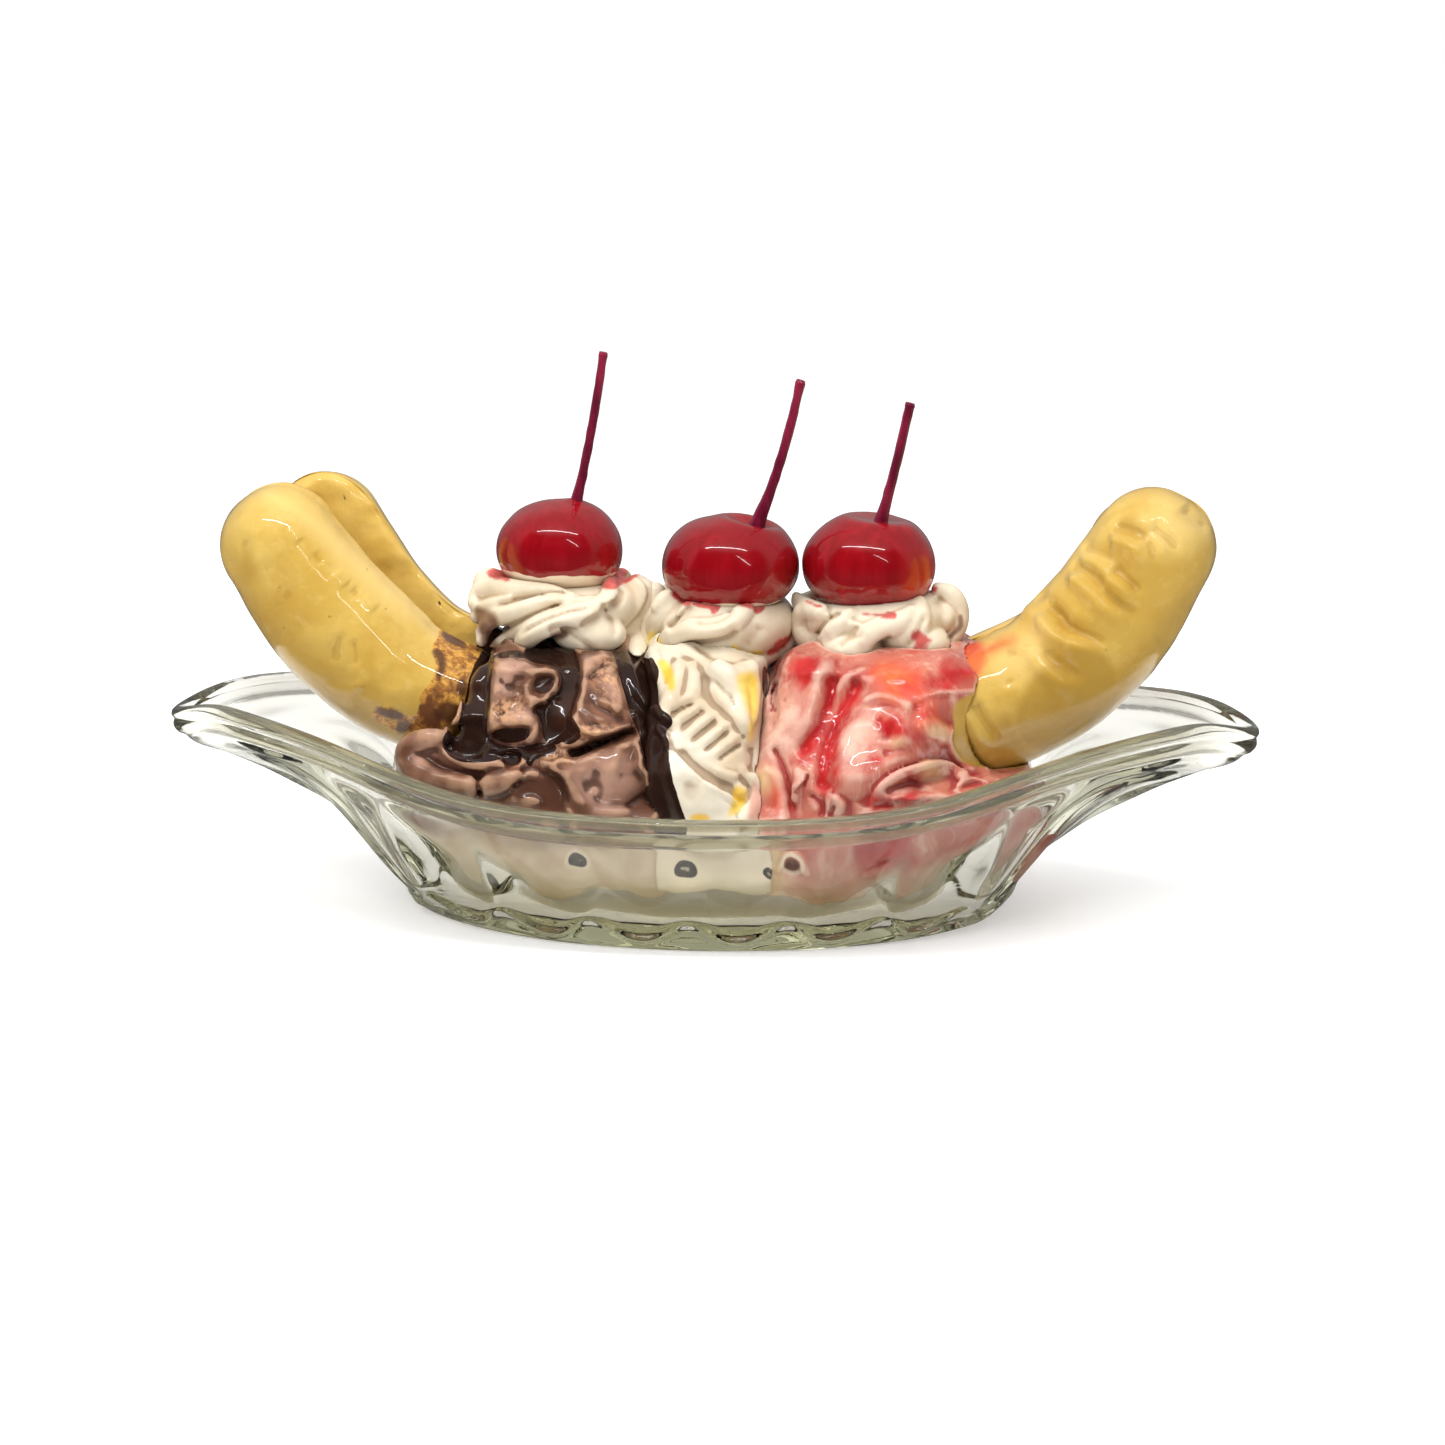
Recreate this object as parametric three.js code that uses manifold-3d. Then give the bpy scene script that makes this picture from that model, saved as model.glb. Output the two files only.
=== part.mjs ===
// Banana split copy: glazed ceramic bananas, ice cream, whipped cream and
// cherries, standing in a clear pressed-glass boat dish with two winged ends.
// Millimetres, +Z up. Origin: middle of the dish's flat base, on the surface it
// stands on. +X runs along the boat, -Y is the side the cut bananas turn their
// backs to.
import * as THREE from 'three';
import { mergeVertices } from 'three/addons/utils/BufferGeometryUtils.js';
import Module from 'manifold-3d';

const wasm = await Module();
wasm.setup();

// ---------------------------------------------------------------- dimensions
const GAP = 0.35;                // clear space left between touching pieces

// Glass dish
const DISH_HALF_LENGTH = 120;    // tip to tip 240
const DISH_HALF_WIDTH = 54;      // at the rim, amidships
const OVAL_HALF_LENGTH = 109;    // the oval the rim follows before the wings
const WING_HALF_WIDTH = 22;      // winged end, before it rounds off
const WING_START = 85;
const WING_BLEND = 4;
const RIM_LOW = 30.8;            // rim height amidships
const RIM_RISE = 15.2;           // how much the rim climbs towards the wings
const RIM_RISE_AT = 66;
const RIM_RISE_SOFT = 12.5;
const TIP_DROOP = 3.9;           // the wing tips turn down a little
const TIP_DROOP_AT = 104;
const BASE_HALF_LENGTH = 64.6;   // flat oval base
const BASE_HALF_WIDTH = 43;
const FLOOR_Z = 5.6;             // inside floor, above the thick base
const FLOOR_INSET = 8;
const WALL = 3.7;                // rim thickness
const BAND = 4.4;                // height of the plain band under the rim
const BAND_PROUD = 0.8;
const FLUTES = 18;               // hollow panels round the outside
const FLUTE_DEPTH = 1.5;
const FLUTE_FOOT = 4.2;          // plain foot below the flutes
const FLUTE_CREST = 3.4;         // how far the foot rises between two flutes

// Bananas: spine points [x, z], radius in the spine's plane
const BANANA_BACK = 15.5;        // rounded back, from the spine outwards
const BANANA_CUT = 4.2;          // from the spine to the flat cut face
const BANANA_FRONT_Y = -7;
const BANANA_REAR_Y = 8;
const LEFT_FRONT = { spine: [[-92.6, 79.2], [-82.6, 64.8], [-68.3, 51.3], [-54, 45]], r0: 13, r1: 14.7, r2: 12.6 };
const LEFT_REAR = { spine: [[-86, 80.3], [-75, 63.6], [-64.5, 53.3], [-51, 47.2]], r0: 12.7, r1: 12.8, r2: 12 };
const RIGHT_FRONT = { spine: [[95.6, 81.1], [86.9, 67.5], [75, 55.8], [59, 49]], r0: 13, r1: 15, r2: 14.2 };
const RIGHT_REAR = { spine: [[93, 78.5], [85.8, 66.2], [74.5, 54.5], [59, 47.5]], r0: 11.8, r1: 12.8, r2: 12.4 };

// Cherries [centre x, y, z, radius, half height] and stems [foot, top, radius]
const CHERRIES = [
  { at: [-32.5, 0, 78.2], r: 13.9, h: 10.3 },
  { at: [5.0, 0, 75.3], r: 15.0, h: 10.9 },
  { at: [35.1, 0.5, 75.8], r: 14.6, h: 10.9 },
];
const STEMS = [
  { foot: [-29.3, 0, 86.9], top: [-22.6, 0, 121.1], r0: 1.1, r1: 0.85 },
  { foot: [9.9, 0, 83], top: [20, 0, 115.5], r0: 1.7, r1: 0.95 },
  { foot: [37.2, 0.5, 85.2], top: [43.4, 0.5, 110.8], r0: 1.3, r1: 0.95 },
];

// Whipped cream rosettes under the cherries
const CREAMS = [
  { at: [-32.6, 0], r: 19.3, z0: 58.2, z1: 72.8, lobes: 8, turn: 0.3 },
  { at: [3.0, 0], r: 17.0, z0: 53.9, z1: 70.2, lobes: 7, turn: 1.1 },
  { at: [38.2, 0], r: 18.2, z0: 57.2, z1: 70.8, lobes: 8, turn: 2.0 },
];

// Ice cream: mounds, wide where they fill the dish and narrow under the cream
const CHOCOLATE = { at: [-37, 0], west: 30.5, east: 30, south: 41, north: 40, top: 61, seed: 1.7, folds: 5 };
const VANILLA = { at: [0, 0], west: 12.4, east: 11.6, south: 42, north: 41, top: 58, seed: 4.1, folds: 7 };
const STRAWBERRY = { at: [38, 0], west: 30.5, east: 32, south: 41.5, north: 40, top: 60.2, seed: 2.6, folds: 6 };
const FOOD_FOOT = FLOOR_Z + GAP;

// ------------------------------------------------------------------- helpers
const clamp01 = (t) => Math.min(1, Math.max(0, t));
const smooth = (a, b, t) => { const k = clamp01((t - a) / (b - a)); return k * k * (3 - 2 * k); };
const mix = (a, b, t) => a + (b - a) * t;

// Uniform Catmull-Rom through rows of numbers
function spline(rows, t) {
  const n = rows.length - 1;
  const f = clamp01(t) * n;
  const i = Math.min(n - 1, Math.floor(f));
  const u = f - i;
  const p = (k) => rows[Math.min(n, Math.max(0, k))];
  return rows[0].map((_, c) => {
    const [a, b, d, e] = [p(i - 1)[c], p(i)[c], p(i + 1)[c], p(i + 2)[c]];
    return 0.5 * (2 * b + (d - a) * u + (2 * a - 5 * b + 4 * d - e) * u * u + (3 * b - a - 3 * d + e) * u * u * u);
  });
}

// A closed skin: pole, rings of equal count, pole. Faces are turned outwards.
function skin(first, rings, last) {
  const n = rings[0].length;
  const pos = [...first];
  for (const ring of rings) for (const p of ring) pos.push(...p);
  pos.push(...last);
  const end = 1 + rings.length * n;
  const at = (r, i) => 1 + r * n + (i % n);
  const index = [];
  for (let i = 0; i < n; i++) {
    index.push(0, at(0, i + 1), at(0, i));
    index.push(end, at(rings.length - 1, i), at(rings.length - 1, i + 1));
  }
  for (let r = 0; r + 1 < rings.length; r++) {
    for (let i = 0; i < n; i++) {
      const [a, b, c, d] = [at(r, i), at(r, i + 1), at(r + 1, i), at(r + 1, i + 1)];
      index.push(a, b, c, b, d, c);
    }
  }
  let volume = 0;
  for (let k = 0; k < index.length; k += 3) {
    const [a, b, c] = [0, 1, 2].map((m) => new THREE.Vector3().fromArray(pos, index[k + m] * 3));
    volume += a.dot(b.cross(c));
  }
  if (volume < 0) for (let k = 0; k < index.length; k += 3) [index[k], index[k + 1]] = [index[k + 1], index[k]];
  const geometry = new THREE.BufferGeometry();
  geometry.setAttribute('position', new THREE.Float32BufferAttribute(pos, 3));
  geometry.setIndex(index);
  geometry.computeVertexNormals();
  return geometry;
}

// The same skin moved outwards by d
function grown(geometry, d) {
  const g = geometry.clone();
  g.computeVertexNormals();
  const p = g.getAttribute('position');
  const m = g.getAttribute('normal');
  for (let i = 0; i < p.count; i++) p.setXYZ(i, p.getX(i) + d * m.getX(i), p.getY(i) + d * m.getY(i), p.getZ(i) + d * m.getZ(i));
  return g;
}

function solid(geometry) {
  const g = geometry.clone();
  g.deleteAttribute('normal');
  g.deleteAttribute('uv');
  const m = mergeVertices(g, 1e-4);
  return new wasm.Manifold(new wasm.Mesh({
    numProp: 3,
    vertProperties: new Float32Array(m.getAttribute('position').array),
    triVerts: new Uint32Array(m.getIndex().array),
  }));
}

function surface(manifold) {
  const mesh = manifold.getMesh();
  const g = new THREE.BufferGeometry();
  g.setAttribute('position', new THREE.BufferAttribute(new Float32Array(mesh.vertProperties), 3));
  g.setIndex(new THREE.BufferAttribute(new Uint32Array(mesh.triVerts), 1));
  g.computeVertexNormals();
  return g;
}

// The largest closed body left after a cut
function mainBody(manifold) {
  return manifold.decompose().reduce((a, b) => (b.volume() > a.volume() ? b : a));
}

const group = new THREE.Group();
function add(name, geometry, color, roughness, metalness = 0, extra = {}) {
  const mesh = new THREE.Mesh(geometry, new THREE.MeshStandardMaterial({ color, roughness, metalness, ...extra }));
  mesh.name = name;
  group.add(mesh);
  return mesh;
}

// ---------------------------------------------------------------- glass dish
function rimHalfWidth(x) {
  const ax = Math.min(DISH_HALF_LENGTH, Math.abs(x));
  const oval = DISH_HALF_WIDTH * Math.sqrt(Math.max(0, 1 - (ax / OVAL_HALF_LENGTH) ** 2));
  const w = Math.max(0, (ax - WING_START) / (DISH_HALF_LENGTH - WING_START));
  const wing = WING_HALF_WIDTH * Math.sqrt(Math.max(0, 1 - w * w));
  const near = WING_BLEND * Math.log1p(Math.exp(-Math.abs(oval - wing) / WING_BLEND));
  return Math.max(oval, wing) + near * clamp01((DISH_HALF_LENGTH - ax) / 6);
}

function rimHeight(x) {
  const ax = Math.abs(x);
  const rise = RIM_RISE / (1 + Math.exp(-(ax - RIM_RISE_AT) / RIM_RISE_SOFT));
  const droop = Math.max(0, (ax - TIP_DROOP_AT) / (DISH_HALF_LENGTH - TIP_DROOP_AT));
  return RIM_LOW + rise - TIP_DROOP * droop * droop;
}

// Plan position of the rim for a turn of phi round the bowl
function rimPlan(phi) {
  const c = Math.cos(phi);
  const x = 84 * c + (DISH_HALF_LENGTH - 84) * Math.sign(c) * Math.abs(c) ** 17;
  return [x, Math.sign(Math.sin(phi)) * rimHalfWidth(x)];
}

// Profiles from the foot to the rim: [share of the way out, share of the height]
const OUTER_SIDE = [[0, 0], [0.16, 0.08], [0.34, 0.2], [0.5, 0.34], [0.64, 0.48], [0.77, 0.63], [0.88, 0.78], [0.95, 0.89], [1, 1]];
const OUTER_END = [[0, 0], [0.09, 0.125], [0.19, 0.285], [0.31, 0.405], [0.45, 0.535], [0.62, 0.66], [0.79, 0.755], [0.945, 0.83], [1, 1]];
const INNER_SIDE = [[0, 0], [0.14, 0.03], [0.28, 0.12], [0.43, 0.27], [0.58, 0.43], [0.72, 0.6], [0.84, 0.76], [0.94, 0.89], [1, 1]];
const INNER_END = [[0, 0], [0.1, 0.083], [0.217, 0.306], [0.334, 0.52], [0.45, 0.67], [0.57, 0.745], [0.736, 0.785], [0.886, 0.85], [1, 1]];
const endShare = (phi) => smooth(0.905, 0.99, Math.abs(Math.cos(phi)));

function rimNormal(phi) {
  const e = 1e-3;
  const [ax, ay] = rimPlan(phi - e);
  const [bx, by] = rimPlan(phi + e);
  const l = Math.hypot(bx - ax, by - ay) || 1;
  return [(by - ay) / l, -(bx - ax) / l];
}

function outerPoint(phi, arc, t) {
  const k = endShare(phi);
  const [rs, zs] = spline(OUTER_SIDE, t);
  const [re, ze] = spline(OUTER_END, t);
  const out = mix(rs, re, k);
  const [px, py] = rimPlan(phi);
  const [nx, ny] = rimNormal(phi);
  const top = rimHeight(px);
  const z = mix(zs, ze, k) * top;
  const w = ((arc * FLUTES) % 1 + 1) % 1;
  const panel = 4 * w * (1 - w);
  const mm = Math.min(w, 1 - w) * 19.2;
  const foot = FLUTE_FOOT + FLUTE_CREST * Math.exp(-((mm / 3.2) ** 2));
  const sink = FLUTE_DEPTH * panel * smooth(foot - 0.3, foot + 1.3, z) * smooth(top - BAND - 1, top - BAND - 9, z) * (1 - 0.9 * k * smooth(0.4, 0.6, t));
  const proud = -BAND_PROUD * smooth(top - BAND + 0.3, top - BAND - 0.5, z);
  const bx = BASE_HALF_LENGTH * Math.cos(phi);
  const by = BASE_HALF_WIDTH * Math.sin(phi);
  const d = proud * smooth(0, 0.3, t) - sink;
  return [mix(bx, px, out) + nx * d, mix(by, py, out) + ny * d, z];
}

function innerPoint(phi, t, inset = 0) {
  const k = endShare(phi);
  const [rs, zs] = spline(INNER_SIDE, t);
  const [re, ze] = spline(INNER_END, t);
  const out = mix(rs, re, k);
  const [px, py] = rimPlan(phi);
  const [nx, ny] = rimNormal(phi);
  const top = rimHeight(px) - 0.3;
  const wall = WALL + inset;
  const fx = (BASE_HALF_LENGTH - FLOOR_INSET) * Math.cos(phi);
  const fy = (BASE_HALF_WIDTH - FLOOR_INSET) * Math.sin(phi);
  return [mix(fx, px - nx * wall, out), mix(fy, py - ny * wall, out), FLOOR_Z + mix(zs, ze, k) * (top - FLOOR_Z)];
}

// Turns round the bowl, evenly spaced along the base's edge, closer at the wings
function turns(perFlute) {
  const steps = 3600;
  const length = [0];
  for (let i = 1; i <= steps; i++) {
    const a = ((i - 0.5) / steps) * 2 * Math.PI;
    length.push(length[i - 1] + Math.hypot(BASE_HALF_LENGTH * Math.sin(a), BASE_HALF_WIDTH * Math.cos(a)));
  }
  const phiAt = (share) => {
    const want = share * length[steps];
    let lo = 0;
    let hi = steps;
    while (hi - lo > 1) { const m = (lo + hi) >> 1; if (length[m] <= want) lo = m; else hi = m; }
    return ((lo + (want - length[lo]) / (length[hi] - length[lo])) / steps) * 2 * Math.PI;
  };
  const list = [];
  for (let f = 0; f < FLUTES; f++) {
    for (let k = 0; k < perFlute; k++) {
      const share = (f + k / perFlute) / FLUTES;
      list.push({ phi: phiAt(share), arc: share + 0.5 / FLUTES });
    }
  }
  return list;
}

function dish() {
  const cols = turns(4);
  const rings = [];
  rings.push(cols.map(({ phi }) => [(BASE_HALF_LENGTH - 1) * Math.cos(phi), (BASE_HALF_WIDTH - 1) * Math.sin(phi), 0]));
  rings.push(cols.map(({ phi }) => [BASE_HALF_LENGTH * Math.cos(phi), BASE_HALF_WIDTH * Math.sin(phi), 0.9]));
  for (const t of [0.17, 0.27, 0.38, 0.52, 0.66, 0.8, 0.92]) rings.push(cols.map(({ phi, arc }) => outerPoint(phi, arc, t)));
  rings.push(cols.map(({ phi, arc }) => { const [x, y, z] = outerPoint(phi, arc, 1); return [x, y, z - 1]; }));
  rings.push(cols.map(({ phi }) => { const [x, y] = rimPlan(phi); const [nx, ny] = rimNormal(phi); return [x - nx * WALL * 0.4, y - ny * WALL * 0.4, rimHeight(x)]; }));
  for (const t of [0.985, 0.84, 0.7, 0.56, 0.42, 0.28, 0.14, 0]) rings.push(cols.map(({ phi }) => innerPoint(phi, t)));
  return skin([0, 0, 0], rings, [0, 0, FLOOR_Z]);
}

add('dish', dish(), 0xdfe6dd, 0.03, 0, { transparent: true, opacity: 0.4 });

// ------------------------------------------------------------------- bananas
function banana({ spine, r0, r1, r2 }, y, side, d = 0) {
  const around = 14;
  const along = 8;
  const cap = 3;
  const frame = (t) => {
    const [x, z] = spline(spine, t);
    const [ax, az] = spline(spine, Math.max(0, t - 0.01));
    const [bx, bz] = spline(spine, Math.min(1, t + 0.01));
    const l = Math.hypot(bx - ax, bz - az);
    return { x, z, tx: (bx - ax) / l, tz: (bz - az) / l };
  };
  const ring = (f, radius, share, shift) => {
    const list = [];
    for (let i = 0; i < around; i++) {
      const a = (i / around) * 2 * Math.PI;
      const s = Math.sin(a);
      const flat = s > 0 ? BANANA_CUT * Math.sqrt(s) : BANANA_BACK * s;
      const n = Math.cos(a) * (radius + d) * share;
      const w = (flat + d * Math.sign(s) * Math.min(1, Math.abs(s) * 2)) * (s > 0 ? Math.min(1, share * 1.6) : share);
      list.push([f.x - f.tz * n + f.tx * shift, y + side * w, f.z + f.tx * n + f.tz * shift]);
    }
    return list;
  };
  const radiusAt = (t) => (t < 0.45 ? mix(r0, r1, smooth(0, 0.45, t)) : mix(r1, r2, smooth(0.45, 1, t)));
  const rings = [];
  for (let c = cap; c > 0; c--) {
    const b = ((c - 0.35) / cap) * (Math.PI / 2);
    rings.push(ring(frame(0), r0, Math.cos(b), -Math.sin(b) * (r0 + d) * 0.98));
  }
  for (let k = 0; k <= along; k++) rings.push(ring(frame(k / along), radiusAt(k / along), 1, 0));
  for (let c = 1; c <= 2; c++) {
    const b = (c / 2.5) * (Math.PI / 2);
    rings.push(ring(frame(1), r2, Math.cos(b), Math.sin(b) * (6 + d)));
  }
  const a = frame(0);
  const e = frame(1);
  return skin(
    [a.x - a.tx * (r0 + d), y, a.z - a.tz * (r0 + d)],
    rings,
    [e.x + e.tx * (6 + d), y, e.z + e.tz * (6 + d)],
  );
}

const BANANAS = [
  ['banana_left_front', LEFT_FRONT, BANANA_FRONT_Y, 1],
  ['banana_left_back', LEFT_REAR, BANANA_REAR_Y, -1],
  ['banana_right_front', RIGHT_FRONT, BANANA_FRONT_Y, 1],
  ['banana_right_back', RIGHT_REAR, BANANA_REAR_Y, -1],
];
for (const [name, shape, y, side] of BANANAS) add(name, banana(shape, y, side), 0xdcb75c, 0.25);

// -------------------------------------------------------- cherries and stems
function cherry({ at, r, h }, stem, d = 0) {
  const around = 20;
  const up = 8;
  const rings = [];
  const lean = [stem.foot[0] - at[0], 0];
  for (let k = 1; k < up; k++) {
    const a = -Math.PI / 2 + (k / up) * Math.PI;
    const ring = [];
    for (let i = 0; i < around; i++) {
      const b = (i / around) * 2 * Math.PI;
      const x = (r + d) * Math.cos(a) ** 0.85 * Math.cos(b);
      const y = (r + d) * Math.cos(a) ** 0.85 * Math.sin(b);
      const dip = 1.6 * Math.exp(-(((x - lean[0]) ** 2 + y * y) / 20)) * smooth(0.2, 1.2, a);
      ring.push([at[0] + x, at[1] + y, at[2] + (h + d) * Math.sin(a) - dip]);
    }
    rings.push(ring);
  }
  return skin([at[0], at[1], at[2] - h - d], rings, [at[0], at[1], at[2] + h + d - 1.6 * Math.exp(-(lean[0] ** 2) / 20)]);
}

function stemSolid({ foot, top, r0, r1 }) {
  const around = 8;
  const along = 4;
  const a = new THREE.Vector3(...foot);
  const b = new THREE.Vector3(...top);
  const axis = b.clone().sub(a).normalize();
  const side = new THREE.Vector3(0, 1, 0);
  const out = side.clone().cross(axis).normalize();
  const bow = 0.02 * a.distanceTo(b);
  const rings = [];
  const at = (t, r) => {
    const c = a.clone().lerp(b, t).addScaledVector(out, bow * Math.sin(Math.PI * t));
    const ring = [];
    for (let i = 0; i < around; i++) {
      const w = (i / around) * 2 * Math.PI;
      const p = c.clone().addScaledVector(out, r * Math.cos(w)).addScaledVector(side, r * Math.sin(w));
      ring.push(p.toArray());
    }
    return ring;
  };
  for (let k = 0; k <= along; k++) {
    const t = k / along;
    rings.push(at(t, mix(r1, r0, Math.exp(-t * 6)) + (k === along ? -0.15 : 0)));
  }
  return skin(foot, rings, top);
}

// each cherry is cut away where its stem stands
const cherryCut = CHERRIES.map((c, i) => {
  const body = solid(cherry(c, STEMS[i]));
  const well = solid(grown(stemSolid(STEMS[i]), GAP));
  return mainBody(body.subtract(well));
});
cherryCut.forEach((m, i) => add(`cherry_${i + 1}`, surface(m), 0xa3101f, 0.12));
STEMS.forEach((s, i) => add(`stem_${i + 1}`, stemSolid(s), 0x6b1329, 0.35));

// ------------------------------------------------------------- whipped cream
// A piped rosette: lobes twist round a soft mound with a seat for the cherry
const CREAM_PROFILE = [[0, 0.06], [0.72, 0.0], [0.94, 0.14], [1, 0.36], [0.97, 0.6], [0.86, 0.86], [0.66, 1], [0.34, 0.94], [0, 0.9]];
function cream({ at, r, z0, z1, lobes, turn }, d = 0) {
  const around = lobes * 3;
  const up = 9;
  const rings = [];
  for (let k = 1; k < up; k++) {
    const v = k / up;
    const [share, height] = spline(CREAM_PROFILE, v);
    const ring = [];
    for (let i = 0; i < around; i++) {
      const a = (i / around) * 2 * Math.PI;
      const ridge = Math.cos(lobes * a + turn + 4.2 * v) * smooth(0.15, 0.35, v) * smooth(0.98, 0.8, v);
      const wide = 1 + 0.06 * Math.sin(2 * a + turn) + 0.075 * ridge;
      const lift = 0.9 * Math.cos(3 * a + turn * 2) * smooth(0.3, 0.7, v) * smooth(1, 0.85, v);
      ring.push([at[0] + (r * share * wide + d) * Math.cos(a), at[1] + (r * share * wide + d) * Math.sin(a), mix(z0, z1, height) + lift + d * (v < 0.25 ? -1 : v > 0.6 ? 1 : 0)]);
    }
    rings.push(ring);
  }
  return skin([at[0], at[1], z0 - d], rings, [at[0], at[1], mix(z0, z1, 0.9) + d]);
}

const creamBlocks = CREAMS.map((c) => solid(cream(c)));
const cherryRoom = CHERRIES.map((c, i) => solid(cherry(c, STEMS[i], GAP)));
let creamSolids = creamBlocks.map((m, i) => mainBody(m.subtract(cherryRoom[i])));
// neighbours are kept apart: the middle rosette gives way to the outer two
creamSolids[1] = mainBody(creamSolids[1].subtract(solid(cream(CREAMS[0], GAP))).subtract(solid(cream(CREAMS[2], GAP)))
  .subtract(cherryRoom[0]).subtract(cherryRoom[2]));
creamSolids[0] = mainBody(creamSolids[0].subtract(cherryRoom[1]));
const bananaRoom = BANANAS.map(([, shape, y, side]) => solid(banana(shape, y, side, GAP)));
creamSolids[2] = mainBody(creamSolids[2].subtract(cherryRoom[1]).subtract(bananaRoom[2]).subtract(bananaRoom[3]));
creamSolids.forEach((m, i) => add(`cream_${i + 1}`, surface(m), 0xe9e1cf, 0.5));

// ----------------------------------------------------------------- ice cream
// The bowl's inside as an oval at each height: [half length, half width]
const BOWL_ROOM = [[52, 32], [64.5, 40.5], [69.5, 44], [74.5, 46.5], [79, 48.5], [83, 50]];
function insideBowl(x, y, z) {
  const [a, b] = spline(BOWL_ROOM, (z - FLOOR_Z) / 30);
  const q = Math.hypot(x / (a - 2.1), y / (b - 2.1));
  return q > 1 ? [x / q, y / q] : [x, y];
}

// Height bands of a mound: [share of its length, share of its depth, share of its height]
const MOUND = [[0, 0, 0], [0.62, 0.62, 0], [0.84, 0.84, 0.07], [0.96, 0.95, 0.2], [1, 1, 0.4], [0.96, 0.93, 0.58], [0.88, 0.78, 0.76], [0.74, 0.58, 0.92], [0.4, 0.3, 1], [0, 0, 1]];
function mound({ at, west, east, south, north, top, seed, folds }, d = 0) {
  const around = 26;
  const up = 10;
  const rings = [];
  for (let k = 1; k < up; k++) {
    const v = k / up;
    const [long, deep, height] = spline(MOUND, v);
    const ring = [];
    for (let i = 0; i < around; i++) {
      const a = (i / around) * 2 * Math.PI;
      const c = Math.cos(a);
      const s = Math.sin(a);
      // a soft-cornered oblong with its own reach on each side
      const rx = c > 0 ? east : west;
      const ry = s > 0 ? north : south;
      const oblong = 1 / (Math.abs(c) ** 3.4 + Math.abs(s) ** 3.4) ** (1 / 3.4);
      const fold = Math.sin(folds * a + seed + 5 * v) * 0.045 + Math.sin((folds + 4) * a - 2 * seed - 8 * v) * 0.028;
      const grow = oblong * (1 + fold * smooth(0.2, 0.5, v));
      const z = mix(FOOD_FOOT, top, height);
      const [x, y] = insideBowl(at[0] + c * rx * long * grow, at[1] + s * ry * deep * grow, z);
      ring.push([x + c * d, y + s * d, z + d * (v < 0.15 ? -1 : v > 0.8 ? 1 : 0)]);
    }
    rings.push(ring);
  }
  return skin([at[0], at[1], FOOD_FOOT - d], rings, [at[0], at[1], top + d]);
}

// room for what leans on or sits in the ice cream
const creamRoom = CREAMS.map((c) => solid(cream(c, GAP)));
const vanillaRoom = solid(mound(VANILLA, GAP));
function carve(block, rooms) {
  return mainBody(rooms.reduce((m, room) => m.subtract(room), block));
}
const chocolate = carve(solid(mound(CHOCOLATE)), [...bananaRoom, ...creamRoom, ...cherryRoom, vanillaRoom]);
const strawberry = carve(solid(mound(STRAWBERRY)), [...bananaRoom, ...creamRoom, ...cherryRoom, vanillaRoom]);
const vanilla = carve(solid(mound(VANILLA)), [...creamRoom, ...cherryRoom]);
add('scoop_chocolate', surface(chocolate), 0x9c715a, 0.3);
add('scoop_vanilla', surface(vanilla), 0xe3dbc8, 0.3);
add('scoop_strawberry', surface(strawberry), 0xd98878, 0.25);

export default group;
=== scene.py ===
# A glazed ceramic banana split in a clear pressed-glass boat dish.
# Shapes are worked in millimetres in the part's own frame and turned into metres
# when a mesh is made. The ice cream, cream and sauce are modelled as clay: a
# distance field is built up from lumps, rolls, slabs and creases, then meshed.
import math

import bpy
import numpy as np
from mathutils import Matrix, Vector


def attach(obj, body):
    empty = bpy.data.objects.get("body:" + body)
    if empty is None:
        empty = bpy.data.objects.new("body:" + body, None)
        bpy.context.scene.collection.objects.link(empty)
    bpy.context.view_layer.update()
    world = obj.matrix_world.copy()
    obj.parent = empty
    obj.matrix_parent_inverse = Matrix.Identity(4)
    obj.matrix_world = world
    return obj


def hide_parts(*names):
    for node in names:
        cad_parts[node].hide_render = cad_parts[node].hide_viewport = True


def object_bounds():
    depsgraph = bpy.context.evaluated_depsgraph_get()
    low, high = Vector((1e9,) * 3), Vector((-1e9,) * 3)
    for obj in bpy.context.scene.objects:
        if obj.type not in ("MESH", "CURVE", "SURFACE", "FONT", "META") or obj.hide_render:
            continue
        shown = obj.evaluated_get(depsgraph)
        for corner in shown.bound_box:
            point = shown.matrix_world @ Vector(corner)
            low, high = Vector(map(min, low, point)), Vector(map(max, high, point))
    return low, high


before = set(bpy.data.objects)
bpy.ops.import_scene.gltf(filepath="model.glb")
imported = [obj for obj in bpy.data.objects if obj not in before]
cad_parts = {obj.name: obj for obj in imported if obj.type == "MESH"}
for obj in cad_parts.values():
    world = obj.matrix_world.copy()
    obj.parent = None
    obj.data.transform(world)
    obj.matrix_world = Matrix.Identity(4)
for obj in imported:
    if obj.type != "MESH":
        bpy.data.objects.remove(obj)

import openvdb as vdb

CAD_BOX = [list(p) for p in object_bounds()]
MM = 0.001

# ------------------------------------------------------------------- camera
AZ, EL = math.radians(5.2), math.radians(13.2)
DIST, FOCAL, SIDE = 700.0, 3167.0, 1445.0
U0, V0 = 708.1, 766.6                       # where the target shows in the frame
TARGET = np.array([0.0, 0.0, 30.0])
BACK = np.array([math.sin(AZ) * math.cos(EL), -math.cos(AZ) * math.cos(EL), math.sin(EL)])
EYE = TARGET + BACK * DIST
RIGHT = np.array([math.cos(AZ), math.sin(AZ), 0.0])
AHEAD = -BACK
UP = np.cross(RIGHT, AHEAD)


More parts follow.
